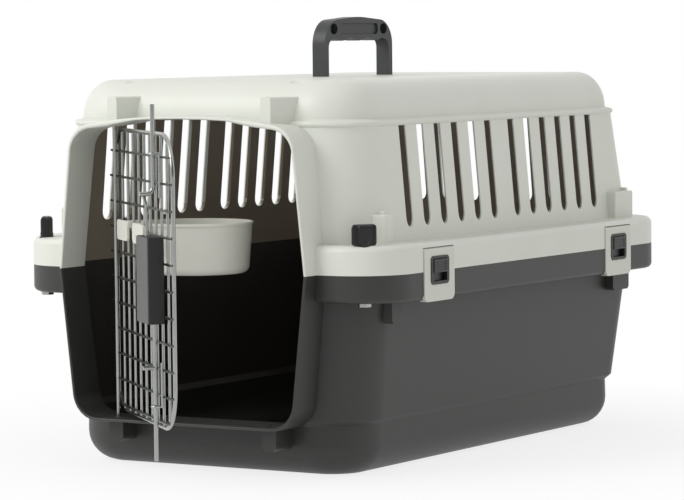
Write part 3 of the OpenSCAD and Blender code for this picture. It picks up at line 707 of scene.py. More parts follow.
@dataclass(frozen=True)
class ShellSizes:
    """Sizes that the two shells share, in millimetres."""

    rim_w: float = 399.0
    rim_l: float = 557.0
    split_z: float = 181.6
    roof_z: float = 351.3
    wall: float = 3.0
    upper_rim_h: float = 26.0
    lower_rim_h: float = 24.6
    ledge_w: float = 31.0
    ledge_front: float = 14.0
    ledge_rear: float = 9.5
    side_draft: float = 5.2
    rear_draft: float = 7.4
    front_draft: float = 1.5
    front_corner_r: float = 50.0
    rear_corner_r: float = 32.0
    rim_r: float = 50.0
    lip_y: float = -299.2
    lip_half_w: float = 132.6
    sill_half_w: float = 117.3
    head_half_w: float = 119.6
    sill_z: float = 44.0
    head_z: float = 310.0
    crown_z: float = 320.5
    lip_corner_r: float = 26.0
    hinge_x: float = 84.0
    hinge_y: float = -277.5
    latch_out: float = 4.5
    knob_x: float = 171.3
    knob_y: float = -264.8

    @property
    def rim_top(self) -> float:
        """Height of the top of the upper shell's rim."""
        return self.split_z + self.upper_rim_h

    @property
    def rim_bottom(self) -> float:
        """Height of the bottom of the tub's rim."""
        return self.split_z - self.lower_rim_h

    @property
    def rim_front(self) -> float:
        """Y of the rim's front."""
        return -self.rim_l / 2 - 2.5

    @property
    def rim_rear(self) -> float:
        """Y of the rim's rear."""
        return self.rim_l / 2 - 2.5

    @property
    def wall_half_w(self) -> float:
        """Half-width of the walls at the rim."""
        return self.rim_w / 2 - self.ledge_w

    @property
    def wall_front(self) -> float:
        """Y of the front wall at the rim."""
        return self.rim_front + self.ledge_front

    @property
    def wall_rear(self) -> float:
        """Y of the rear wall at the rim."""
        return self.rim_rear - self.ledge_rear

    def drafted(self, z: float, rise: float, off: float = 0.0) -> Level:
        """The walls' outline at height z, a rise away from the rim, standing in by off."""
        return (
            z,
            self.wall_half_w - rise * math.tan(math.radians(self.side_draft)) - off,
            self.wall_front + rise * math.tan(math.radians(self.front_draft)) + off,
            self.wall_rear - rise * math.tan(math.radians(self.rear_draft)) - off,
            self.front_corner_r,
            self.rear_corner_r)

    def above(self, z: float, off: float = 0.0) -> Level:
        """The upper shell's wall at height z."""
        return self.drafted(z, z - self.rim_top, off)

    def below(self, z: float, off: float = 0.0) -> Level:
        """The tub's wall at height z."""
        return self.drafted(z, self.rim_bottom - z, off)

    def rim(self, z: float, off: float) -> Level:
        """The joint rim's outline at height z, standing in by off."""
        return (z, self.rim_w / 2 - off, self.rim_front + off, self.rim_rear - off,
                self.rim_r - off, self.rim_r - off)

    def doorway(self, off: float) -> list[Flat]:
        """The doorway surround's outline in X and Z, standing in by off."""
        crown = self.crown_z - off
        arch = [(x, self.head_z + (crown - self.head_z) * (1 - (x / self.head_half_w) ** 2))
                for x in (75, 50, 25, 0, -25, -50, -75)]
        return rounded([
            (-self.sill_half_w + off, self.sill_z + off, self.lip_corner_r - off),
            (self.sill_half_w - off, self.sill_z + off, self.lip_corner_r - off),
            (self.lip_half_w - off, self.split_z, 0),
            (self.head_half_w - off, self.head_z - off, self.lip_corner_r - off),
            *[(x, z - (off if abs(x) > 60 else 0), 0) for x, z in arch],
            (-self.head_half_w + off, self.head_z - off, self.lip_corner_r - off),
            (-self.lip_half_w + off, self.split_z, 0)])

    def inner(self, level: Level, z: float, off: float) -> Level:
        """A level moved to z and standing in by off, with its corners about the same centres."""
        return (z, level[1] - off, level[2] + off, level[3] - off, level[4] - off, level[5] - off)


def ring_of(level: Level, steps: int = 14) -> list[Point]:
    """The points of one level's rounded outline."""
    z, half, front, rear, front_r, rear_r = level
    flat = [
        *arc(half - rear_r, rear - rear_r, rear_r, 0, 90, steps),
        *arc(-half + rear_r, rear - rear_r, rear_r, 90, 90, steps),
        *arc(-half + front_r, front + front_r, front_r, 180, 90, steps),
        *arc(half - front_r, front + front_r, front_r, 270, 90, steps)]
    return [(x, y, z) for x, y in flat]


def loft(name: str, levels: Sequence[Level]) -> Obj:
    """A solid through a stack of outlines."""
    return skin(name, [ring_of(level) for level in levels])


CLIP_SIDES: tuple[tuple[str, int, float], ...] = (
    ("front_right", 1, -184.0), ("rear_right", 1, 164.0),
    ("front_left", -1, -184.0), ("rear_left", -1, 164.0))
CLIP_PLACES = tuple((side, (y,)) for _, side, y in CLIP_SIDES)


@dataclass
class Shell:
    """What the upper shell and the tub have in common."""

    sizes: ShellSizes = field(default_factory=ShellSizes)
    edge_r: float = 0.7
    lip_round: tuple[Flat, ...] = ((0.0, 1.3), (0.35, 0.55), (1.3, 0.0))
    lip_depth: float = 30.0
    clip_w: float = 53.0
    clip_gap: float = 0.5
    knuckle_gap: float = 4.0
    knuckle_over: float = 3.7
    back_t: float = 12.0
    back_over: float = 6.0
    pocket_gap: float = 0.6
    tongue_t: float = 3.0
    stack_in: float = 16.0
    stack_out: float = 7.5
    socket_front: float = 4.0
    socket_back: float = 32.0
    clip_pin_x: float = 197.5
    clip_pin_z: float = 199.2
    clip_seat_x: float = 194.8
    tongue_in: float = 190.3
    tongue_w: float = 16.0
    bolt_d: float = 6.2
    bolt_column_d: float = 16.0
    upper_socket_w: float = 10.4
    lower_socket_w: float = 15.0
    socket_drop: float = 20.0
    socket_flare: float = 0.36
    socket_rise: float = 10.0

    def surround(self, z_low: float, z_high: float) -> Obj:
        """The doorway surround with its rounded lip, between two heights."""
        s = self.sizes
        rings = [(inset, s.lip_y + y) for y, inset in self.lip_round]
        rings.append((0, s.wall_front + self.lip_depth))
        tube = skin("surround", [[(x, y, z) for x, z in s.doorway(off)] for off, y in rings])
        slab = box("slab", (-s.rim_w, s.lip_y - 5, z_low), (s.rim_w, 0, z_high))
        return carve(tube, [(Cut.KEEP, slab)])

    def doorway_hole(self) -> Obj:
        """The tool that opens the doorway, flared where the lip is rounded."""
        s = self.sizes
        rings = [(s.wall - self.lip_round[0][1] - 0.1, s.lip_y - 1)]
        rings += [(s.wall - inset, s.lip_y + y) for y, inset in self.lip_round]
        rings.append((s.wall, 0))
        return skin("doorway", [[(x, y, z) for x, z in s.doorway(off)] for off, y in rings])

    def sockets(self, z_low: float, z_high: float, up: bool) -> list[Obj]:
        """The two bosses that hold the door's rods; up tells which end is free and rounded."""
        s = self.sizes
        bosses = []
        half = self.upper_socket_w / 2 if up else self.lower_socket_w / 2
        for x, y in ((-s.hinge_x, s.hinge_y), (s.hinge_x, s.hinge_y - s.latch_out)):
            front, back = y - self.socket_front, s.wall_front + self.socket_back
            if not up:
                face = panel(x - half, x + half, z_low, z_high, 5, 0)
                bosses.append(prism_y("socket", face, front, back))
                continue
            rings = []
            for t in (0.0, 0.25, 0.5, 1.0):
                wide = half + self.socket_flare * t * (back - front)
                foot, r = z_low + self.socket_rise * t, 1 + 12 * t
                face = panel(x - wide, x + wide, foot, z_high, r, 1.5)
                rings.append([(px, front + t * (back - front), pz) for px, pz in face])
            bosses.append(skin("socket", rings))
        return bosses

    def rod_bores(self, z_low: float, z_high: float) -> list[Obj]:
        """Tools for the rods' holes."""
        s = self.sizes
        return [rod("bore", (x, y, z_low), (x, y, z_high), d) for x, y, d in (
            (-s.hinge_x, s.hinge_y, 4.2), (s.hinge_x, s.hinge_y - s.latch_out, 4.8))]

    def clip_recesses(self) -> Obj:
        """One tool with the seats of all four clips."""
        s = self.sizes
        half, out = self.clip_w / 2 + self.clip_gap, s.rim_w / 2 + 1
        pin_x, pin_z, gap = self.clip_pin_x, self.clip_pin_z, self.knuckle_gap

        def seat(y: float) -> Obj:
            """One clip's seat, with room for its knuckle."""
            low = box("seat", (self.clip_seat_x, y - half, s.rim_bottom - 1), (out, y + half, pin_z))
            high = box("knuckle_seat", (pin_x - gap, y - half, pin_z - gap),
                       (out, y + half, pin_z + self.knuckle_over))
            return carve(low, [(Cut.ADD, high)])

        return sided("clip_recesses", CLIP_PLACES, seat)

    def clip_backs(self, z_low: float, z_high: float) -> Obj:
        """Solid blocks in the hollow rim behind the clips."""
        half, out = self.clip_w / 2 + self.back_over, self.sizes.rim_w / 2 - 1
        inner = self.clip_seat_x - self.back_t
        return sided("clip_backs", CLIP_PLACES, lambda y: box(
            "back", (inner, y - half, z_low), (out, y + half, z_high)))

    def lock_pockets(self, z_low: float, z_high: float, open_out: bool) -> Obj:
        """Tools for the pockets that the sliders' tongues drop into."""
        half, inner = self.tongue_w / 2 + self.pocket_gap, self.tongue_in - self.pocket_gap
        out = self.sizes.rim_w / 2 + 1 if open_out else self.tongue_in + self.tongue_t + self.pocket_gap
        return sided("lock_pockets", CLIP_PLACES, lambda y: box(
            "pocket", (inner, y - half, z_low), (out, y + half, z_high)))

    def bolt_tools(self, z_low: float, z_high: float, d: float) -> Obj:
        """Rods at the two front corners."""
        s = self.sizes
        return joined("bolt_tools", [
            rod("bolt_tool", (side * s.knob_x, s.knob_y, z_low), (side * s.knob_x, s.knob_y, z_high), d)
            for side in (-1, 1)])

    def stack_places(self, spans: Sequence[Flat]) -> list[tuple[int, Flat]]:
        """Each stacking part's side and its front and rear in Y."""
        return [(side, span) for side in (-1, 1) for span in spans]

    def rim_hollow(self, levels: Sequence[Level], walls: Sequence[Level], z_low: float,
                   z_high: float) -> Obj:
        """The tool that leaves the rim as a thin channel with solid seats for clips and bolts."""
        s = self.sizes
        core = prism_y("surround_core", s.doorway(0), s.rim_front - 2, s.wall_front + self.lip_depth)
        return carve(loft("rim_hollow", levels), [
            (Cut.TAKE, loft("walls", walls)),
            (Cut.TAKE, self.clip_backs(z_low - 2, z_high + 2)),
            (Cut.TAKE, core),
            (Cut.TAKE, self.bolt_tools(z_low - 2, z_high + 2, self.bolt_column_d))])

    def within(self, p: Vector, level: Level, margin: float) -> bool:
        """Tells whether a point lies inside an outline, at least a margin from its edge."""
        _, half, front, rear, front_r, rear_r = level
        x = abs(p.x)
        for corner_y, r, beyond in ((rear - rear_r, rear_r, p.y > rear - rear_r),
                                    (front + front_r, front_r, p.y < front + front_r)):
            if beyond and x > half - r:
                return math.hypot(x - half + r, p.y - corner_y) < r - margin
        return x < half - margin and front + margin < p.y < rear - margin

    def mark_inside(self, piece: Obj, cavity: Callable[[Vector], bool]) -> None:
        """Writes 1 on the faces that look into the cabin, whose colour the material darkens as painted
        shade, and 0 on the others.

        Args:
            piece: the shell.
            cavity: tells whether a point in millimetres lies in the cabin or the doorway.
        """
        mesh = piece.data
        # The inside attribute is the mask of the painted cabin shade
        inside = mesh.attributes.new("inside", "FLOAT", "FACE")
        # A ring-shaped face has its centre off itself, so each face is tried at its largest triangle
        mesh.calc_loop_triangles()
        spots: dict[int, tuple[float, Vector]] = {}
        for part in mesh.loop_triangles:
            if part.area >= spots.get(part.polygon_index, (0.0, None))[0]:
                middle = sum((mesh.vertices[i].co for i in part.vertices), Vector()) / 3
                spots[part.polygon_index] = (part.area, middle)
        values = []
        for face in mesh.polygons:
            probe = (spots[face.index][1] + face.normal * 0.6 * MM) / MM
            values.append(1.0 if cavity(probe) else 0.0)
        inside.data.foreach_set("value", values)


@dataclass
class UpperShell(Shell):
    """The off-white upper shell: dome, vented walls, rim, doorway surround and rod sockets."""

    rib_z: float = 313.0
    rib_out: float = 1.8
    dome_inset: float = 3.5
    dome_run: float = 28.0
    rim_edge_r: float = 6.5
    vent_pitch: float = 31.2
    vent_w: float = 12.0
    vent_low: float = 219.0
    vent_high: float = 310.0
    vent_foot: float = 9.0
    vent_flare: float = 2.4
    vent_count: int = 6
    vent_start: float = 22.2
    rear_vents: int = 6
    scoop_at: Point = (89.0, -242.0, 355.2)
    scoop_r: Point = (12.0, 9.0, 7.5)
    posts: tuple[Flat, ...] = ((-236.0, -222.0), (206.0, 244.0))
    post_h: float = 25.4
    leg_gap: float = 0.3
    knob_recess: float = 2.5
    knob_recess_d: float = 14.0
    pocket_h: float = 14.4
    socket_low: float = 8.0
    socket_high: float = 27.0
    leg_y: float = 58.5
    leg_t: float = 7.0
    leg_w: float = 14.0

    def dome(self, steps: int = 16) -> list[Level]:
        """The levels of the roof's round edge."""
        s = self.sizes
        start = s.above(self.rib_z + 4, self.dome_inset)
        rise = s.roof_z - start[0]
        out = []
        for i in range(steps + 1):
            a = math.pi / 2 * i / steps
            out.append(s.inner(start, start[0] + rise * math.sin(a), self.dome_run * (1 - math.cos(a))))
        return out

    def outside(self) -> Obj:
        """The solid outer form of the walls and the dome, with the rib line round it."""
        s = self.sizes
        rib = [s.above(self.rib_z + z, -out * self.rib_out) for z, out in (
            (-3.2, 0), (-2.2, 0.5), (-1.2, 0.92), (0, 1), (1.3, 0.9), (2.2, 0.4))]
        rib.append(s.above(self.rib_z + 2.9, self.dome_inset / 2))
        return loft("upper_shell_moulding", [s.above(s.rim_top - 1), *rib, *self.dome()])

    def inside(self) -> Obj:
        """The tool for the cabin."""
        s = self.sizes
        dome = [s.inner(level, level[0] - s.wall, s.wall) for level in self.dome()]
        return loft("cabin", [
            s.inner(s.above(s.split_z), s.split_z - 1, s.wall),
            s.inner(s.above(self.rib_z - 3), self.rib_z - 3, s.wall), *dome])

    def slot_outline(self, y: float) -> list[Flat]:
        """A vent slot's outline in Y and Z."""
        r = self.vent_w / 2
        foot = [(py, self.vent_low + self.vent_foot * (1 + (pz - self.vent_low) / r))
                for py, pz in arc(y, self.vent_low, r, 180, 180, 14)]
        return [(y + r, self.vent_high), (y - r, self.vent_high), *foot]

    def vents(self) -> list[Obj]:
        """Tools for the side vents and the rear vents, each a repeated slot."""
        s = self.sizes
        shape = row_shape()
        material = SHELL_FINISH.material()
        tools = []
        for side in (-1, 1):
            middle = side * self.vent_start
            outline = self.slot_outline(middle)
            flared = 1 + self.vent_flare / (self.vent_w / 2)
            past, skin_t, inner = -20.0, 1.2, s.wall + 0.1
            rings = []
            for hand, grow, depth in ((-1, 1, past), (-1, 1, skin_t), (-1, flared, inner),
                                      (1, flared, inner), (1, 1, skin_t), (1, 1, past)):
                rings.append([(hand * (s.above(z)[1] - depth), middle + (y - middle) * grow, z)
                              for y, z in outline])
            tools.append(shape.make("side_vents", skin("slot", rings), material, count=self.vent_count,
                                    step=(0.0, side * self.vent_pitch * MM, 0.0)))
        first = -(self.rear_vents - 1) / 2 * self.vent_pitch
        seed = prism_y("slot", self.slot_outline(first), s.wall_rear - 40, s.rim_rear)
        tools.append(shape.make("rear_vents", seed, material, count=self.rear_vents,
                                step=(self.vent_pitch * MM, 0.0, 0.0)))
        return tools

    def rim_band(self) -> Obj:
        """The rim with its round upper edge."""
        s = self.sizes
        edge = [
            s.rim(s.rim_top - self.rim_edge_r * (1 - math.sin(math.radians(a))),
                  self.rim_edge_r * (1 - math.cos(math.radians(a)))) for a in range(0, 91, 15)]
        return loft("rim", [s.rim(s.split_z, 0), *edge])

    def pillars(self) -> Obj:
        """The stacking posts on the rim, each with a higher ledge at its rear."""
        s = self.sizes
        inner, base = s.wall_half_w - self.stack_in, s.rim_top

        def post(front: float, rear: float) -> Obj:
            """One post."""
            low = box("pillar", (inner, front, base - 2),
                      (s.wall_half_w + self.stack_out, rear, base + self.post_h), 1.6)
            high = box("ledge", (inner, rear - 6, base + self.post_h - 5.4),
                       (s.wall_half_w + 2, rear - 0.3, base + self.post_h + 3), 1.2)
            return carve(low, [(Cut.ADD, high)])

        return sided("pillars", self.stack_places(self.posts), post)

    def scoops(self) -> Obj:
        """Two shallow dents at the front of the roof."""
        x, y, z = self.scoop_at
        ball = [(0, -1.0), *arc(0, 0, 1, -80, 160, 16), (0, 1.0)]
        parts = [
            moved(spun("scoop", ball, (0, 0), 48), Matrix.Translation((side * x * MM, y * MM, z * MM))
                  @ Matrix.Diagonal((*self.scoop_r, 1))) for side in (-1, 1)]
        return joined("scoops", parts)

    def handle_parts(self) -> tuple[Obj, Obj]:
        """The sleeves under the roof that guide the handle, and the tool for their slots."""
        s = self.sizes
        half_w, half_t = self.leg_w / 2 + self.leg_gap, self.leg_t / 2 + self.leg_gap

        def pair(name: str, over: float, low: float, high: float) -> Obj:
            """A block round each leg, wider than its slot by over on each side."""
            return joined(name, [
                box(name, (-half_w - over, y - half_t - over, low),
                    (half_w + over, y + half_t + over, high)) for y in (-self.leg_y, self.leg_y)])

        return (pair("sleeves", s.wall, s.roof_z - 13, s.roof_z - 1.5),
                pair("leg_slots", 0, s.roof_z - 20, s.roof_z + 1))

    def build(self) -> None:
        """Builds and dresses the shell."""
        s = self.sizes
        sleeves, slots = self.handle_parts()
        hollow = self.rim_hollow(
            [s.rim(s.split_z - 1, s.wall), s.rim(s.rim_top - self.rim_edge_r, s.wall),
             s.rim(s.rim_top - s.wall, s.wall + 3)],
            [s.above(s.split_z - 2), s.above(s.rim_top)], s.split_z, s.rim_top)
        shell = carve(self.outside(), [
            (Cut.TAKE, self.scoops()),
            (Cut.ADD, self.rim_band()),
            (Cut.ADD, self.surround(s.split_z, s.roof_z)),
            *[(Cut.ADD, boss) for boss in self.sockets(
                s.head_z - self.socket_low, s.head_z + self.socket_high, True)],
            (Cut.ADD, self.pillars()),
            (Cut.TAKE, hollow),
            (Cut.TAKE, self.inside()),
            (Cut.ADD, sleeves),
            (Cut.TAKE, self.doorway_hole()),
            *[(Cut.TAKE, tool) for tool in self.vents()],
            (Cut.TAKE, self.clip_recesses()),
            (Cut.TAKE, self.lock_pockets(s.split_z - 1, s.split_z + self.pocket_h, True)),
            *[(Cut.TAKE, bore) for bore in self.rod_bores(s.split_z, s.head_z + self.socket_high - 1)],
            (Cut.TAKE, self.bolt_tools(s.split_z - 1, s.rim_top + 1, self.bolt_d)),
            (Cut.TAKE, self.bolt_tools(s.rim_top - self.knob_recess, s.rim_top + 1, self.knob_recess_d)),
            (Cut.TAKE, slots)])
        softened(shell, self.edge_r)

        start = self.rib_z + 4
        rise = s.roof_z - start

        def cabin(p: Vector) -> bool:
            """Whether a point of the skin looks into the cabin."""
            up = min(1.0, max(0.0, (p.z + s.wall - start) / rise))
            inset = self.dome_run * (1 - math.sqrt(1 - up * up))
            if p.z + s.wall > start:
                inset += self.dome_inset
            return (s.split_z - 2 < p.z < s.roof_z - s.wall + 0.3
                    and self.within(p, s.above(min(p.z, start), inset), s.wall - 0.3))

        # Faces that look into the cabin take a painted shade colour
        self.mark_inside(shell, cabin)
        dressed(shell, SHELL_FINISH, Body.SHELLS.value, ["upper_shell"])


@dataclass
class Tub(Shell):
    """The dark grey tub: stepped plinth, drafted walls, rim, and the doorway's lower half."""

    step_z: float = 47.5
    step_inset: float = 4.0
    step_front: float = 4.0
    base_r: float = 28.0
    peg_spans: tuple[Flat, ...] = ((-226.0, -208.0), (200.0, 234.0))
    peg_h: float = 21.0
    pocket_depth: float = 7.0

    def plinth(self, z: float) -> Level:
        """The plinth's outline at height z."""
        level = self.sizes.below(z, self.step_inset)
        return (z, level[1], level[2] - self.step_inset + self.step_front, *level[3:])

    def levels(self) -> list[Level]:
        """The tub's outer outlines, from the floor to the rim."""
        s = self.sizes
        start = self.plinth(self.step_z)
        base = []
        for i in range(9):
            a = math.pi / 2 * i / 8
            base.append(s.inner(start, self.base_r * (1 - math.cos(a)), self.base_r * (1 - math.sin(a))))
        step = [(t, self.step_z - 3 + 6 * t) for t in (0, 0.15, 0.5, 0.85, 1)]
        low, high = self.plinth(self.step_z - 3), s.below(self.step_z + 3)
        blend = []
        for t, z in step:
            ease = t * t * (3 - 2 * t)
            blend.append((z, *[a + (b - a) * ease for a, b in zip(low[1:], high[1:])]))
        return [*base, *blend, s.below(s.rim_bottom + 1)]

    def pegs(self) -> Obj:
        """The stacking pegs under the rim."""
        s = self.sizes
        low, high = s.rim_bottom - self.peg_h, s.rim_bottom + 1
        inner, outer = s.wall_half_w - self.stack_in, s.wall_half_w + self.stack_out
        return sided("pegs", self.stack_places(self.peg_spans), lambda front, rear: prism_x(
            "peg", panel(front, rear, low, high, 4, 0), inner, outer))

    def build(self) -> None:
        """Builds and dresses the tub."""
        s = self.sizes
        levels = self.levels()
        hollow = self.rim_hollow(
            [s.rim(s.rim_bottom + s.wall, s.wall), s.rim(s.split_z + 1, s.wall)],
            [s.below(s.rim_bottom), s.below(s.split_z + 2)], s.rim_bottom, s.split_z)
        inside = loft("tub_inside", [
            *[s.inner(level, level[0] + s.wall, s.wall) for level in levels],
            s.inner(s.below(s.split_z), s.split_z + 1, s.wall)])
        tub = carve(loft("tub_moulding", levels), [
            (Cut.ADD, loft("rim", [
                s.rim(s.rim_bottom, 4), s.rim(s.rim_bottom + 0.5, 2.5), s.rim(s.rim_bottom + 1.6, 1.2),
                s.rim(s.rim_bottom + 4, 0), s.rim(s.split_z, 0)])),
            (Cut.ADD, self.surround(0, s.split_z)),
            *[(Cut.ADD, boss) for boss in self.sockets(
                s.sill_z - self.socket_drop, s.sill_z + s.wall, False)],
            (Cut.ADD, self.pegs()),
            (Cut.TAKE, hollow),
            (Cut.TAKE, inside),
            (Cut.TAKE, self.doorway_hole()),
            (Cut.TAKE, self.clip_recesses()),
            (Cut.TAKE, self.lock_pockets(s.split_z - self.pocket_depth, s.split_z + 1, False)),
            *[(Cut.TAKE, bore) for bore in self.rod_bores(s.sill_z - self.socket_drop + 1, s.split_z)],
            (Cut.TAKE, self.bolt_tools(s.rim_bottom - 1, s.split_z + 1, self.bolt_d))])
        softened(tub, self.edge_r)

        def cabin(p: Vector) -> bool:
            """Whether a point of the skin looks into the cabin."""
            down = min(1.0, max(0.0, (self.base_r - p.z + s.wall) / self.base_r))
            inset = self.base_r * (1 - math.sqrt(1 - down * down))
            level = self.plinth(p.z) if p.z < self.step_z else s.below(p.z)
            stood_in = (p.z, level[1] - inset, level[2] + inset, level[3] - inset, *level[4:])
            return p.z > s.wall - 0.3 and self.within(p, stood_in, s.wall - 0.3)

        # Faces that look into the cabin take a painted shade colour
        self.mark_inside(tub, cabin)
        dressed(tub, TUB_FINISH, Body.SHELLS.value, ["lower_tub"])


# ---- Clips, knobs and bolts


@dataclass
class SideClip:
    """One side clip: an off-white plate, and a near-black bezel and lock slider."""

    place: str
    side: int
    y: float
    sizes: ShellSizes = field(default_factory=ShellSizes)
    w: float = 53.0
    t: float = 3.0
    x: float = 200.5
    pin_z: float = 199.2
    knuckle_r: float = 3.0
    pin_d: float = 2.5
    foot_drop: float = 2.2
    hook_reach: float = 4.0
    hook_in: float = 3.5
    window_w: float = 32.0
    window_span: Flat = (-12.0, 13.4)
    bezel_edges: Flat = (2.9, 2.5)
    bezel_out: float = 0.8
    open_w: float = 24.0
    lock_h: float = 12.0
    lock_out: float = 1.6
    grooves: int = 4
    groove_pitch: float = 2.2
    flange_over: float = 2.5
    flange_drop: float = 9.0
    tongue_w: float = 16.0
    tongue_in: float = 190.3
    tongue_t: float = 3.0
    tongue_up: float = 2.4

    @property
    def inner(self) -> float:
        """Where the plate's inner face stands."""
        return self.x - self.t

    @property
    def window(self) -> Flat:
        """The window's lower and upper edge."""
        return self.sizes.split_z + self.window_span[0], self.sizes.split_z + self.window_span[1]

    @property
    def opening(self) -> Flat:
        """The lower and upper edge of the bezel's opening."""
        return self.window[0] + self.bezel_edges[0], self.window[1] - self.bezel_edges[1]

    def in_window(self, name: str, low: float, high: float) -> Obj:
        """A block as wide as the window."""
        half = self.window_w / 2
        return prism_x(name, panel(-half, half, *self.window, 4, steps=6), low, high)

    def hinged(self, name: str, half: float, d: float, around: int = 24) -> Obj:
        """A rod along the hinge line, half long to each side."""
        return rod(name, (self.inner, -half, self.pin_z), (self.inner, half, self.pin_z), d, around)

    def plate(self, name: str) -> Obj:
        """The plate with its hook, its knuckle and its window."""
        inner, half, rim = self.inner, self.w / 2, self.sizes.rim_bottom
        foot, hook = rim - self.foot_drop, half - self.hook_in
        return carve(prism_x(name, panel(-half, half, foot, self.pin_z, 6, 0), inner, self.x), [
            (Cut.ADD, box("hook", (inner - self.hook_reach, -hook, foot + 0.1),
                          (self.x - 0.2, hook, rim - 0.4), 0.4)),
            (Cut.ADD, self.hinged("knuckle", half, 2 * self.knuckle_r, 32)),
            (Cut.TAKE, self.hinged("pin_hole", half + 1, self.pin_d)),
            (Cut.TAKE, self.in_window("window", inner - 1, self.x + 1))])

    def bezel(self, name: str) -> Obj:
        """The frame round the slider."""
        half, (low, high) = self.open_w / 2, self.opening
        return carve(self.in_window(name, self.inner, self.x + self.bezel_out), [
            (Cut.TAKE, box("opening", (self.inner - 1, -half, low), (self.x + 2, half, high)))])

    def lock(self, name: str) -> Obj:
        """The slider with its grooves, the flange behind the bezel, and its tongue."""
        inner, tongue_in, up = self.inner, self.tongue_in, self.sizes.split_z + self.tongue_up
        face, flange, half = self.open_w / 2 - 0.3, self.open_w / 2 + self.flange_over, self.tongue_w / 2
        high = self.opening[1] - 0.5
        low = high - self.lock_h
        tops = [high - self.groove_pitch * (k + 1) for k in range(self.grooves)]
        slider = box(name, (inner - 0.41, -face, low), (self.x + self.lock_out, face, high), 0.5, 2)
        return carve(slider, [
            *[(Cut.TAKE, box("groove", (self.x + 0.9, -face + 2, top - 1), (self.x + 3, face - 2, top)))
              for top in tops],
            (Cut.ADD, box("flange", (inner - 2, -flange, low - self.flange_drop),
                          (inner - 0.4, flange, high + 2))),
            (Cut.ADD, box("bridge", (tongue_in, -half, up + 7.5), (inner - 1.9, half, up + 10))),
            (Cut.ADD, box("tongue", (tongue_in, -half, up), (tongue_in + self.tongue_t, half, up + 8)))])

    def build(self) -> None:
        """Builds and dresses the clip's three pieces."""
        place = Matrix.Translation((0, self.y * MM, 0)) @ Matrix.Diagonal((self.side, 1, 1, 1))
        for make, width, finish, body, slot in (
                (self.plate, 0.5, CLIP_FINISH, "clip", Slot.CLIP),
                (self.bezel, 0.4, BEZEL_FINISH, "clip", Slot.TRIM),
                (self.lock, 0.2, SLIDER_FINISH, "lock", Slot.TRIM)):
            node_name = f"clip_{make.__name__}_{self.place}"
            part = softened(moved(make(f"{node_name}_moulding"), place), width)
            dressed(part, finish, f"{body}_{self.place}", [node_name])


@dataclass
class CornerKnob:
    """A flat winged knob with upright ridges, on the bolt that clamps a front corner."""

    name: str
    side: int
    sizes: ShellSizes = field(default_factory=ShellSizes)
    w: float = 23.0
    t: float = 11.0
    h: float = 21.0
    ridge: float = 0.7
    foot_d: float = 12.0
    foot_h: float = 6.0
    bolt_d: float = 6.0
    bore_h: float = 15.7
    turn: float = 55.0
    recess: float = 2.5
    gap: float = 0.2
    lower_edge: tuple[Flat, ...] = ((2.7, 1.2), (3.3, 0.4), (4.4, 0.0))
    upper_edge: tuple[Flat, ...] = ((3.4, 0.0), (1.6, 0.5), (0.5, 1.5), (0.0, 3.2))

    def outline(self, off: float) -> list[Flat]:
        """The wings' outline standing in by off, with shallow upright ridges."""
        r = self.t / 2
        reach = self.w / 2 - r
        out = []
        for i, (x, y) in enumerate([*arc(reach, 0, r, -90, 180, 20), *arc(-reach, 0, r, 90, 180, 20)]):
            grow, middle = 1 - off / r - self.ridge / r * (i % 2), math.copysign(reach, x)
            out.append((middle + (x - middle) * grow, y * grow))
        return out

    def build(self) -> None:
        """Builds and dresses the knob."""
        s = self.sizes
        low = s.rim_top - self.recess + self.gap
        place = Matrix.Translation((self.side * s.knob_x * MM, s.knob_y * MM, low * MM))
        turn = Matrix.Rotation(math.radians(self.side * self.turn), 4, "Z")
        edge = [*self.lower_edge, *[(self.h - down, off) for down, off in self.upper_edge]]
        wings = skin(f"{self.name}_moulding", [
            [(x, y, z) for x, y in self.outline(off)] for z, off in edge])
        carve(wings, [
            (Cut.ADD, rod("foot", (0, 0, 0), (0, 0, self.foot_h), self.foot_d, 40)),
            (Cut.TAKE, rod("bolt_hole", (0, 0, -1), (0, 0, self.bore_h), self.bolt_d + 0.1))])
        softened(moved(wings, place @ turn), 0.25, 50)
        dressed(wings, TRIM_FINISH, self.name, [self.name])


@dataclass
class Bolts:
    """The hexagon bolts through the front corners, each with a washer face under its head."""

    sizes: ShellSizes = field(default_factory=ShellSizes)
    d: float = 6.0
    head: float = 12.0
    head_h: float = 3.0

    def build(self) -> None:
        """Builds and dresses both bolts."""
        s = self.sizes
        parts = []
        for side in (-1, 1):
            x, y = side * s.knob_x, s.knob_y
            hexagon = [(x + px, y + py) for px, py in arc(0, 0, self.head / 2, 15, 360, 6)[:-1]]
            head = skin("head", [[(px, py, z) for px, py in hexagon] for z in (
                s.rim_bottom - self.head_h, s.rim_bottom - 0.9)])
            carve(head, [
                (Cut.ADD, rod("washer", (x, y, s.rim_bottom - 1), (x, y, s.rim_bottom), self.head, 40)),
                (Cut.ADD, rod("shank", (x, y, s.rim_bottom - 0.5), (x, y, s.rim_top + 12), self.d))])
            parts.append(softened(head, 0.35, 30))
        dressed(joined("corner_bolts", parts), BOLT_FINISH, Body.SHELLS.value, ["bolts"])


# ---- Door


@dataclass
class DoorFrame:
    """Turns the door's own frame, X along the door, Y outwards, into the row frame."""

    sizes: ShellSizes = field(default_factory=ShellSizes)
    angle: float = 42.0

    def matrix(self) -> Matrix:
        """The placement, in metres."""
        s = self.sizes
        return (Matrix.Translation((-s.hinge_x * MM, s.hinge_y * MM, 0))
                @ Matrix.Rotation(math.radians(-self.angle), 4, "Z") @ Matrix.Diagonal((1, -1, 1, 1)))

    def place(self, part: Obj) -> Obj:
        """Moves a part from the door's own frame to the row frame."""
        return moved(part, self.matrix())


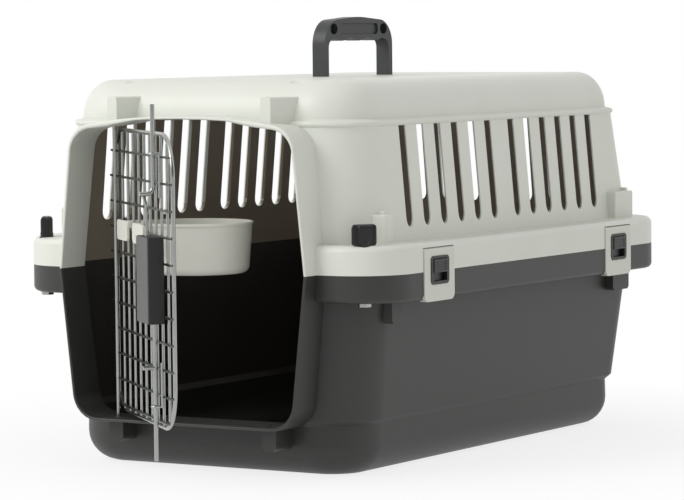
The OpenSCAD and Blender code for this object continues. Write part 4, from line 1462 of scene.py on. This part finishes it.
@dataclass
class WireDoor:
    """The wire door: frame, uprights, cross wires, hinge rod and rod guides."""

    door: DoorFrame = field(default_factory=DoorFrame)
    rod_d: float = 4.0
    upright_d: float = 2.8
    cross_d: float = 2.2
    upright_pitch: float = 21.6
    upright_start: float = -16.2
    uprights: int = 10
    cross_pitch: float = 23.0
    crosses: int = 11
    cross_low: float = 58.0
    low: float = 53.0
    high: float = 307.0
    over: float = 28.0
    corner_r: float = 36.0
    mesh_out: float = -6.2
    around: int = 16
    rod_low: float = 25.5
    rod_high: float = 333.5
    bead_r: float = 1.5
    eye_d: float = 2.2
    leg_d: float = 3.0
    leg_l: float = 39.0

    @property
    def right(self) -> float:
        """The frame's far edge along the door."""
        return 2 * self.door.sizes.hinge_x + self.over

    @property
    def upright_out(self) -> float:
        """How far out the upright wires lie."""
        return self.mesh_out + (self.rod_d - self.upright_d) / 2

    @property
    def cross_out(self) -> float:
        """How far out the cross wires lie."""
        return self.mesh_out + self.rod_d / 2 + self.cross_d / 2

    def inset(self, u: float) -> float:
        """How far the inside of the frame wire stands in at a distance along the door."""
        edge = min(u + self.over, self.right - u)
        reach = self.corner_r - edge + self.upright_d / 2 if edge < self.corner_r else 0.0
        return self.corner_r - math.sqrt((self.corner_r - self.rod_d / 2) ** 2 - reach ** 2)

    def frame_path(self) -> list[Point]:
        """The closed run of the frame wire."""
        flat = panel(-self.over, self.right, self.low, self.high, self.corner_r, steps=10)
        path = [(u, self.mesh_out, z) for u, z in flat]
        return [*path, path[0]]

    def guides(self, zs: Sequence[float]) -> Obj:
        """The two eyes that the latch rods run through, each welded on by its leg."""
        latch_u, latch_out = 2 * self.door.sizes.hinge_x, self.door.sizes.latch_out
        r = self.rod_d / 2 + 0.4 + self.eye_d / 2
        leg_u, leg_out = latch_u + r, self.cross_out + self.cross_d / 2 + self.leg_d / 2
        eyes, legs = [], []
        for z, way in ((zs[1] - 8, 1), (zs[-1] + 3, -1)):
            bend = [(x, y, z) for x, y in arc(latch_u, latch_out, r, 0, 180, 14)]
            eyes.append([(leg_u, leg_out, z), *bend])
            legs.append([(leg_u, leg_out, z - way), (leg_u, leg_out, z + way * (self.leg_l - 1))])
        return joined("rod_guide_wires", [
            drawn("eyes", eyes, self.eye_d), drawn("legs", legs, self.leg_d, 14)])

    def build(self) -> None:
        """Builds and dresses the wire pieces and the weld beads."""
        us = [self.upright_start + self.upright_pitch * k for k in range(self.uprights)]
        zs = [self.cross_low + self.cross_pitch * k for k in range(self.crosses)]
        ends = []
        for z in zs:
            depth = max(0.0, self.corner_r - min(z - self.low, self.high - z))
            ends.append(self.corner_r - math.sqrt(self.corner_r ** 2 - depth ** 2))
        spans = [(u, self.low + self.inset(u), self.high - self.inset(u)) for u in us]

        rim = drawn("door_frame_wire", [self.frame_path()], self.rod_d, self.around)
        uprights = drawn("door_upright_wires", [
            [(u, self.upright_out, low - 0.6), (u, self.upright_out, high + 0.6)]
            for u, low, high in spans], self.upright_d)
        # The cross wires take the zinc with a painted darker shade, standing in for their dim reflection
        crossbars = drawn("door_cross_wires", [
            [(-self.over + end - 4, self.cross_out, z), (self.right - end + 2, self.cross_out, z)]
            for z, end in zip(zs, ends)], self.cross_d, finish=CROSS_PAINTED_SHADE_FINISH)
        hinge = drawn("hinge_rod_wire", [[(0, 0, self.rod_low), (0, 0, self.rod_high)]],
                      self.rod_d, self.around)

        welds: list[Point] = []
        for u, low, high in spans:
            welds += [(u, self.upright_out, z) for z in (low, high)]
            welds += [(u, (self.upright_out + self.cross_out) / 2, z) for z, end in zip(zs, ends)
                      if -self.over + end < u < self.right - end]
        beads = bead_shape().make("weld_beads", mesh_object("seed", welds, []),
                                  WIRE_FINISH.material(), radius=self.bead_r * MM)

        for part, nodes in ((rim, ["door_frame"]), (uprights, ["door_uprights"]),
                            (crossbars, ["door_crossbars"]), (hinge, ["hinge_rod"]),
                            (self.guides(zs), ["rod_guides"]), (beads, [])):
            shaded(self.door.place(part), 50)
            dressed(part, CROSS_PAINTED_SHADE_FINISH if part is crossbars else WIRE_FINISH,
                    Body.DOOR.value, nodes)


@dataclass
class Latch:
    """The squeeze latch: grip case, two tabs, two rods with finger pulls, and the coil spring."""

    door: DoorFrame = field(default_factory=DoorFrame)
    z: float = 182.0
    h: float = 75.0
    w: float = 42.0
    d: float = 15.0
    wall: float = 1.8
    back: float = -2.0
    past_rods: float = 10.0
    rod_d: float = 4.0
    plug_h: float = 8.0
    plug_w: float = 12.0
    plug_reach: float = 27.1
    blade_in: float = 2.4
    blade_out: float = 5.0
    link_d: float = 2.6
    link_in: float = 9.0
    pull_reach: float = 12.0
    pull_bend_r: float = 6.0
    upper_pull: float = 37.0
    lower_pull: float = 38.0
    travel: float = 23.5
    coil_d: float = 7.0
    coil_wire: float = 0.9
    coil_turns: int = 11
    coil_steps: int = 20

    @property
    def u(self) -> float:
        """Where the rods run along the door."""
        return 2 * self.door.sizes.hinge_x

    @property
    def left(self) -> float:
        """The grip's left side."""
        return self.u - self.w + self.past_rods

    @property
    def front(self) -> float:
        """How far out the grip's face stands."""
        return self.back + self.d

    @property
    def link(self) -> Flat:
        """Where the upper rod's link runs: along the door and outwards."""
        return self.u - self.link_in, self.front - self.wall - 0.5 - self.link_d / 2 - 0.6

    def plug_z(self, side: int) -> float:
        """The height of the middle of a tab's plug."""
        return self.z + side * (self.plug_h / 2 + self.plug_reach)

    def case(self) -> None:
        """The hollow grip case with its side slot, and the lighter cover plate on its face."""
        left, right = self.left, self.u + self.past_rods
        back, front, wall = self.back, self.front, self.wall
        low, high = self.z - self.h / 2, self.z + self.h / 2
        reach, out = self.plug_reach + self.plug_h, self.door.sizes.latch_out
        case = carve(box("grip_case_moulding", (left, back, low), (right, front - 0.8, high), 0.9, 3), [
            (Cut.TAKE, box("hollow", (left + wall, back + wall, low + wall),
                           (right - wall, front - wall, high - wall))),
            (Cut.TAKE, rod("rod_hole", (self.u, out, low - 1), (self.u, out, self.z), self.rod_d + 0.2)),
            (Cut.TAKE, rod("link_hole", (*self.link, self.z), (*self.link, high + 1),
                           self.link_d + 0.2)),
            (Cut.TAKE, box("slot", (left - 1, back + wall + 2, self.z - reach),
                           (left + wall + 1, front - wall - 2, self.z + reach)))])
        softened(self.door.place(case), 0.25, 50)
        dressed(case, GRIP_FINISH, Body.DOOR.value, ["grip_case"])
        face = panel(left + 0.3, right - 0.3, low + 0.3, high - 0.3, 1.5, steps=5)
        cover = prism_y("grip_cover_plate", face, front - wall, front)
        softened(self.door.place(cover), 0.6, 50)
        dressed(cover, COVER_FINISH, Body.DOOR.value)

    def tab(self, side: int, body: Body, name: str) -> None:
        """One tab with its plug, bored for what it carries."""
        back, front, middle = self.back + self.wall, self.front - self.wall, self.plug_z(side)
        where, bore_d = (self.link, self.link_d) if side > 0 else (
            (self.u, self.door.sizes.latch_out), self.rod_d)
        plug_left = self.link[0] - self.link_d / 2 - 2
        plug = carve(box(f"{name}_moulding", (plug_left, back + 0.5, middle - 4),
                         (self.u + self.plug_w / 2, front - 0.5, middle + 4), 0.5, 2), [
            (Cut.ADD, box("blade", (self.left - self.blade_out, back + self.blade_in, middle - 3),
                          (plug_left + 1, front - self.blade_in, middle + 3), 0.4, 2)),
            (Cut.TAKE, rod("rod_hole", (*where, middle - 8), (*where, middle + 8), bore_d))])
        softened(self.door.place(plug), 0.15, 50)
        dressed(plug, GRIP_FINISH, body.value, [name])

    def rod_run(self, side: int, body: Body, name: str) -> None:
        """One latch rod with its finger pull, and the upper one's thinner link into the grip."""
        u, out, middle, doors = self.u, self.door.sizes.latch_out, self.plug_z(side), WireDoor()
        reach, end = out + self.pull_reach, self.z + side * self.h / 2
        if side > 0:
            pull, r, bend_z = end + self.upper_pull, self.pull_bend_r, end + self.travel + 4
            link_u, link_out = self.link
            bend = [(u, x, z) for x, z in arc(out + r, pull + r, r, 180, 90, 9)]
            parts = [
                drawn("bolt", [[(u, out, doors.rod_high), *bend, (u, reach, pull)]], self.rod_d, 18),
                drawn("link", [[
                    (u, reach - self.link_d, pull + 0.2), (link_u + 0.3, link_out + 0.2, bend_z + 1),
                    (link_u, link_out, bend_z - 0.5), (link_u, link_out, middle - 4)]],
                    self.link_d, 14)]
        else:
            pull = end - self.lower_pull
            parts = [
                drawn("bolt", [[(u, out, doors.rod_low), (u, out, middle + 4)]], self.rod_d, 18),
                drawn("stub", [[(u, out, pull), (u, reach - 1, pull)]], self.rod_d - 0.06, 18)]
        run = joined(f"{body.name.lower()}_wire", parts)
        shaded(self.door.place(run), 50)
        dressed(run, WIRE_FINISH, body.value, [name])

    def coil(self) -> None:
        """The coil spring between the tabs."""
        out = self.door.sizes.latch_out
        r, half = self.coil_d / 2 - self.coil_wire / 2, self.plug_reach - 0.8
        steps = self.coil_turns * self.coil_steps
        path = []
        for i in range(steps + 1):
            a = 2 * math.pi * i / self.coil_steps
            path.append((self.u + r * math.cos(a), out + r * math.sin(a),
                         self.z - half + 2 * half * i / steps))
        spring = drawn("latch_coil", [path], self.coil_wire, 8, BOLT_FINISH)
        shaded(self.door.place(spring), 50)
        dressed(spring, BOLT_FINISH, Body.DOOR.value, ["latch_spring"])
        centre = self.door.matrix() @ Vector((self.u * MM, out * MM, self.z * MM))
        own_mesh(spring)

    def build(self) -> None:
        """Builds and dresses the latch."""
        self.case()
        self.tab(1, Body.UPPER_LATCH, "upper_tab")
        self.tab(-1, Body.LOWER_LATCH, "lower_tab")
        self.rod_run(1, Body.UPPER_LATCH, "upper_latch_rod")
        self.rod_run(-1, Body.LOWER_LATCH, "lower_latch_rod")
        self.coil()


# ---- Cup and handle


@dataclass
class FoodCup:
    """The round food cup with a rolled rim and two hook flaps over a cross wire."""

    door: DoorFrame = field(default_factory=DoorFrame)
    d: float = 99.0
    h: float = 46.0
    wall: float = 2.0
    u: float = 72.0
    rim_z: float = 226.5
    hook_z: float = 219.0
    flap_w: float = 42.0
    flap_drop: float = 18.0
    flap_t: float = 2.0
    foot_in: float = 10.0
    foot_r: float = 7.0
    floor_in: float = 9.0
    floor_r: float = 6.0
    roll: tuple[Flat, ...] = ((-0.2, 3.0), (0.7, 2.6), (1.0, 1.6), (0.8, 0.5), (0.0, 0.0))

    def bowl(self, out: float) -> Obj:
        """The turned bowl, out millimetres from the hinge line."""
        r, low, high = self.d / 2, self.rim_z - self.h, self.rim_z
        inner_r, floor = r - self.wall, low + self.wall
        return spun("food_cup_moulding", [
            (0, low), *arc(r - self.foot_in, low + self.foot_r, self.foot_r, -90, 90, 9),
            *[(r + x, high - z) for x, z in self.roll],
            (inner_r + 0.3, high - 0.2), (inner_r, high - 1.2),
            *arc(inner_r - self.floor_in, floor + self.floor_r, self.floor_r, 0, -90, 9),
            (0, floor)], (self.u, out), 128)

    def build(self) -> None:
        """Builds and dresses the cup."""
        wires = WireDoor()
        out = wires.upright_out - wires.upright_d / 2 - 1.3 - self.d / 2
        low, high, core_d = self.rim_z - self.h, self.rim_z, self.d - 2 * self.wall + 1
        steps: list[tuple[Cut, Obj]] = []
        front = wires.cross_out + wires.cross_d / 2 + 0.3
        for upright, lead in ((2, 22), (4, 4)):
            u = wires.upright_start + wires.upright_pitch * upright
            beside = wires.upright_d / 2 + 0.6
            bridge = box(
                "bridge", (u + beside, out + self.d / 4, self.hook_z + wires.cross_d / 2 + 0.3),
                (u + wires.upright_pitch - beside, front + 1, high))
            core = rod("core", (self.u, out, low), (self.u, out, high + 5), core_d, 96)
            flap = panel(u - lead, u - lead + self.flap_w, high - self.flap_drop, high, 5)
            steps += [(Cut.ADD, carve(bridge, [(Cut.TAKE, core)])),
                      (Cut.ADD, prism_y("flap", flap, front, front + self.flap_t))]
        cup = carve(self.bowl(out), steps)
        softened(self.door.place(cup), 0.35, 45)
        dressed(cup, CUP_FINISH, Body.CUP.value, ["food_cup"])


@dataclass
class CarryHandle:
    """The carry handle: two flat legs and an I-section bar with a waved finger edge."""

    sizes: ShellSizes = field(default_factory=ShellSizes)
    length: float = 124.0
    w: float = 14.0
    rise: float = 56.7
    leg_t: float = 7.0
    foot_drop: float = 17.0
    bar_h: float = 22.0
    web_t: float = 3.0
    palm_t: float = 10.0
    end_w: float = 15.5
    end_gap: float = 4.5
    wave_in: float = 9.0
    wave_h: float = 1.5
    crown_drop: float = 4.5
    stop_side: float = 5.0
    stop_end: float = 2.0

    def outline(self) -> list[Flat]:
        """The handle's side outline in Y and Z."""
        half, top = self.length / 2, self.sizes.roof_z + self.rise
        foot, under = self.sizes.roof_z - self.foot_drop, top - self.bar_h
        leg = half - self.leg_t
        span = leg - self.wave_in
        wave = []
        for i in range(33):
            y = -span + 2 * span * i / 32
            dip = self.wave_h * math.cos(3 * math.pi * y / span) if abs(y) < span - 0.01 else 0.0
            wave.append((y, under + 0.4 - dip, 0.0))
        crown = top - self.crown_drop
        return rounded([
            (-half, foot, 0), (-leg, foot, 0), (-leg, under, 8), *wave, (leg, under, 8),
            (leg, foot, 0), (half, foot, 0), (half, crown, 24), (0, top, 150), (-half, crown, 24)], 14)

    def pockets(self) -> Obj:
        """The tool for both sides' pockets: a long one in the bar and an oval one at each end."""
        top, end_out = self.sizes.roof_z + self.rise, self.length / 2 - self.leg_t
        low, high, end_in = top - self.bar_h + 5, top - 6.5, end_out - self.end_w
        palm, middle = end_in - self.end_gap, (end_in + end_out) / 2 - 1.8
        reach, rise = (end_out - end_in) / 2 - 1.2, (high - low) / 2
        shapes = [(panel(-palm, palm, low, high, 4, steps=6), self.palm_t / 2)]
        for end in (-1, 1):
            oval = [(end * middle + reach * y, low + rise + rise * z)
                    for y, z in arc(0, 0, 1, 0, 360, 28)[:-1]]
            shapes.append((oval, self.web_t / 2))
        return sided("pockets", [(side, shape) for side in (-1, 1) for shape in shapes],
                     lambda outline, depth: prism_x("pocket", outline, depth, self.w / 2 + 1))

    def build(self) -> None:
        """Builds and dresses the handle and its stops."""
        handle = prism_x("carry_handle_moulding", self.outline(), -self.w / 2, self.w / 2)
        softened(carve(handle, [(Cut.TAKE, self.pockets())]), 0.8, 45, 3)
        dressed(handle, HANDLE_FINISH, Body.HANDLE.value, ["carry_handle"])

        stops = []
        foot, half_w, half_t = self.sizes.roof_z - self.foot_drop, self.w / 2, self.leg_t / 2
        leg_y, wide, deep = self.length / 2 - half_t, half_w + self.stop_side, half_t + self.stop_end
        for y in (-leg_y, leg_y):
            stop = box("stop", (-wide, y - deep, foot - 4), (wide, y + deep, foot + 3.6), 0.8, 2)
            carve(stop, [(Cut.TAKE, box(
                "socket", (-half_w, y - half_t, foot), (half_w, y + half_t, foot + 5)))])
            stops.append(softened(stop, 0.2, 50))
        dressed(joined("handle_stops_moulding", stops), HANDLE_FINISH, Body.HANDLE.value,
                ["handle_stops"])


# ---- Studio


@dataclass
class Studio:
    """Floor, light and the camera at the photograph's angle."""

    camera_mm: Point = (1719.6, -2814.4, 396.4)
    azimuth: float = 31.64
    pitch: float = 3.69
    roll: float = -0.56
    focal_px: float = 3431.0
    image_w: float = 684.0
    sensor_mm: float = 36.0
    sky: float = 0.75
    dim_side: float = 0.16
    dim_edges: Flat = (0.75, 0.25)
    card_near: float = 0.3
    card_far: float = 0.62
    card_share: float = 0.8
    floor_half: float = 30000.0
    key_watts: float = 60.0

    def camera(self) -> None:
        """Sets the camera up."""
        a, p, r = (math.radians(v) for v in (self.azimuth, self.pitch, self.roll))
        forward = Vector((-math.sin(a) * math.cos(p), math.cos(a) * math.cos(p), -math.sin(p)))
        right = Vector((math.cos(a), math.sin(a), 0))
        up = right.cross(forward)
        side = math.cos(r) * right + math.sin(r) * up
        top = -math.sin(r) * right + math.cos(r) * up
        data = bpy.data.cameras.new("camera")
        data.sensor_width = self.sensor_mm
        data.lens = self.sensor_mm * self.focal_px / self.image_w
        data.clip_start = 0.05
        data.clip_end = 60
        camera = linked("camera", data)
        turn = Matrix((side, top, -forward)).transposed().to_4x4()
        camera.matrix_world = Matrix.Translation(Vector(self.camera_mm) * MM) @ turn
        bpy.context.scene.camera = camera

    def seen(self, tree: Tree) -> Socket:
        """1 for rays that show the background: camera, glossy and transmission rays."""
        path = node(tree, "ShaderNodeLightPath", {})
        both = node(tree, "ShaderNodeMath", {
            0: path.outputs["Is Camera Ray"], 1: path.outputs["Is Glossy Ray"]}, operation="MAXIMUM")
        return node(tree, "ShaderNodeMath", {
            0: both.outputs[0], 1: path.outputs["Is Transmission Ray"]}, operation="MAXIMUM").outputs[0]

    def world(self) -> None:
        """A soft white surround that looks white and lights more gently."""
        world = bpy.data.worlds.new("studio")
        bpy.context.scene.world = world
        world.use_nodes = True
        tree = world.node_tree
        shine = tree.nodes["Background"]
        level = node(tree, "ShaderNodeMapRange", {
            "Value": self.seen(tree), "To Min": self.sky, "To Max": 1.0})
        # The dim side of the room, which wires mirror in their middles
        a = math.radians(self.azimuth)
        ray = node(tree, "ShaderNodeTexCoord", {}).outputs["Generated"]
        facing = node(tree, "ShaderNodeVectorMath", {
            0: ray, 1: (math.sin(a), -math.cos(a), 0.0)}, operation="DOT_PRODUCT").outputs["Value"]
        dim = node(tree, "ShaderNodeMapRange", {
            "Value": facing, "From Min": self.dim_edges[0], "From Max": self.dim_edges[1],
            "To Min": self.dim_side, "To Max": 1.0})
        glossy = node(tree, "ShaderNodeLightPath", {}).outputs["Is Glossy Ray"]
        strength = node(tree, "ShaderNodeMix", {
            0: glossy, 2: level.outputs["Result"], 3: dim.outputs["Result"]})
        tree.links.new(strength.outputs[0], shine.inputs["Strength"])
        shine.inputs["Color"].default_value = (1, 1, 1, 1)

    def floor(self) -> None:
        """A large pale floor that looks white and keeps a faint shadow."""
        half = self.floor_half
        floor = mesh_object("floor", [
            (-half, -half, 0), (half, -half, 0), (half, half, 0), (-half, half, 0)], [(0, 1, 2, 3)])
        made = bpy.data.materials.new("matte_white_card")
        made.use_nodes = True
        tree = made.node_tree
        shader = tree.nodes["Principled BSDF"]
        shader.inputs["Base Color"].default_value = (0.86, 0.86, 0.85, 1)
        shader.inputs["Roughness"].default_value = 0.9
        glow = node(tree, "ShaderNodeEmission", {"Color": (1, 1, 1, 1), "Strength": 1.0})
        where = node(tree, "ShaderNodeTexCoord", {}).outputs["Object"]
        away = node(tree, "ShaderNodeVectorMath", {0: where}, operation="LENGTH").outputs["Value"]
        clean = node(tree, "ShaderNodeMapRange", {
            "Value": away, "From Min": self.card_near, "From Max": self.card_far,
            "To Min": self.card_share, "To Max": 1.0})
        share = node(tree, "ShaderNodeMath", {
            0: self.seen(tree), 1: clean.outputs["Result"]}, operation="MULTIPLY")
        mixed = node(tree, "ShaderNodeMixShader", {
            0: share.outputs[0], 1: shader.outputs[0], 2: glow.outputs[0]})
        tree.links.new(mixed.outputs[0], tree.nodes["Material Output"].inputs["Surface"])
        floor.data.materials.append(made)

    def lamp(self, name: str, place: Point, aim: Point, size: float, watts: float) -> None:
        """A square soft lamp.

        Args:
            name: the lamp's name.
            place: where it hangs, in millimetres.
            aim: the point that it faces, in millimetres.
            size: its side, in millimetres.
            watts: its power.
        """
        data = bpy.data.lights.new(name, "AREA")
        data.shape = "SQUARE"
        data.size = size * MM
        data.energy = watts
        lamp = linked(name, data)
        lamp.location = Vector(place) * MM
        lamp.rotation_euler = (Vector(aim) - Vector(place)).to_track_quat("-Z", "Y").to_euler()

    def build(self) -> None:
        """Sets the whole studio up."""
        self.camera()
        self.world()
        self.floor()
        self.lamp("key", (-1500, -2600, 2200), (0, 0, 150), 1800, self.key_watts)
        bpy.context.scene.view_settings.view_transform = "Standard"


def main() -> None:
    """Builds the pieces in order."""
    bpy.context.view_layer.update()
    Studio().build()
    UpperShell().build()
    Tub().build()
    for place, side, y in CLIP_SIDES:
        SideClip(place, side, y).build()
    CornerKnob("knob_right", 1).build()
    CornerKnob("knob_left", -1).build()
    Bolts().build()
    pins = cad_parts["clip_pins"]
    pins.data.materials.clear()
    pins.data.materials.append(BOLT_FINISH.material())
    WireDoor().build()
    Latch().build()
    FoodCup().build()
    CarryHandle().build()


if __name__ == "__main__":
    main()
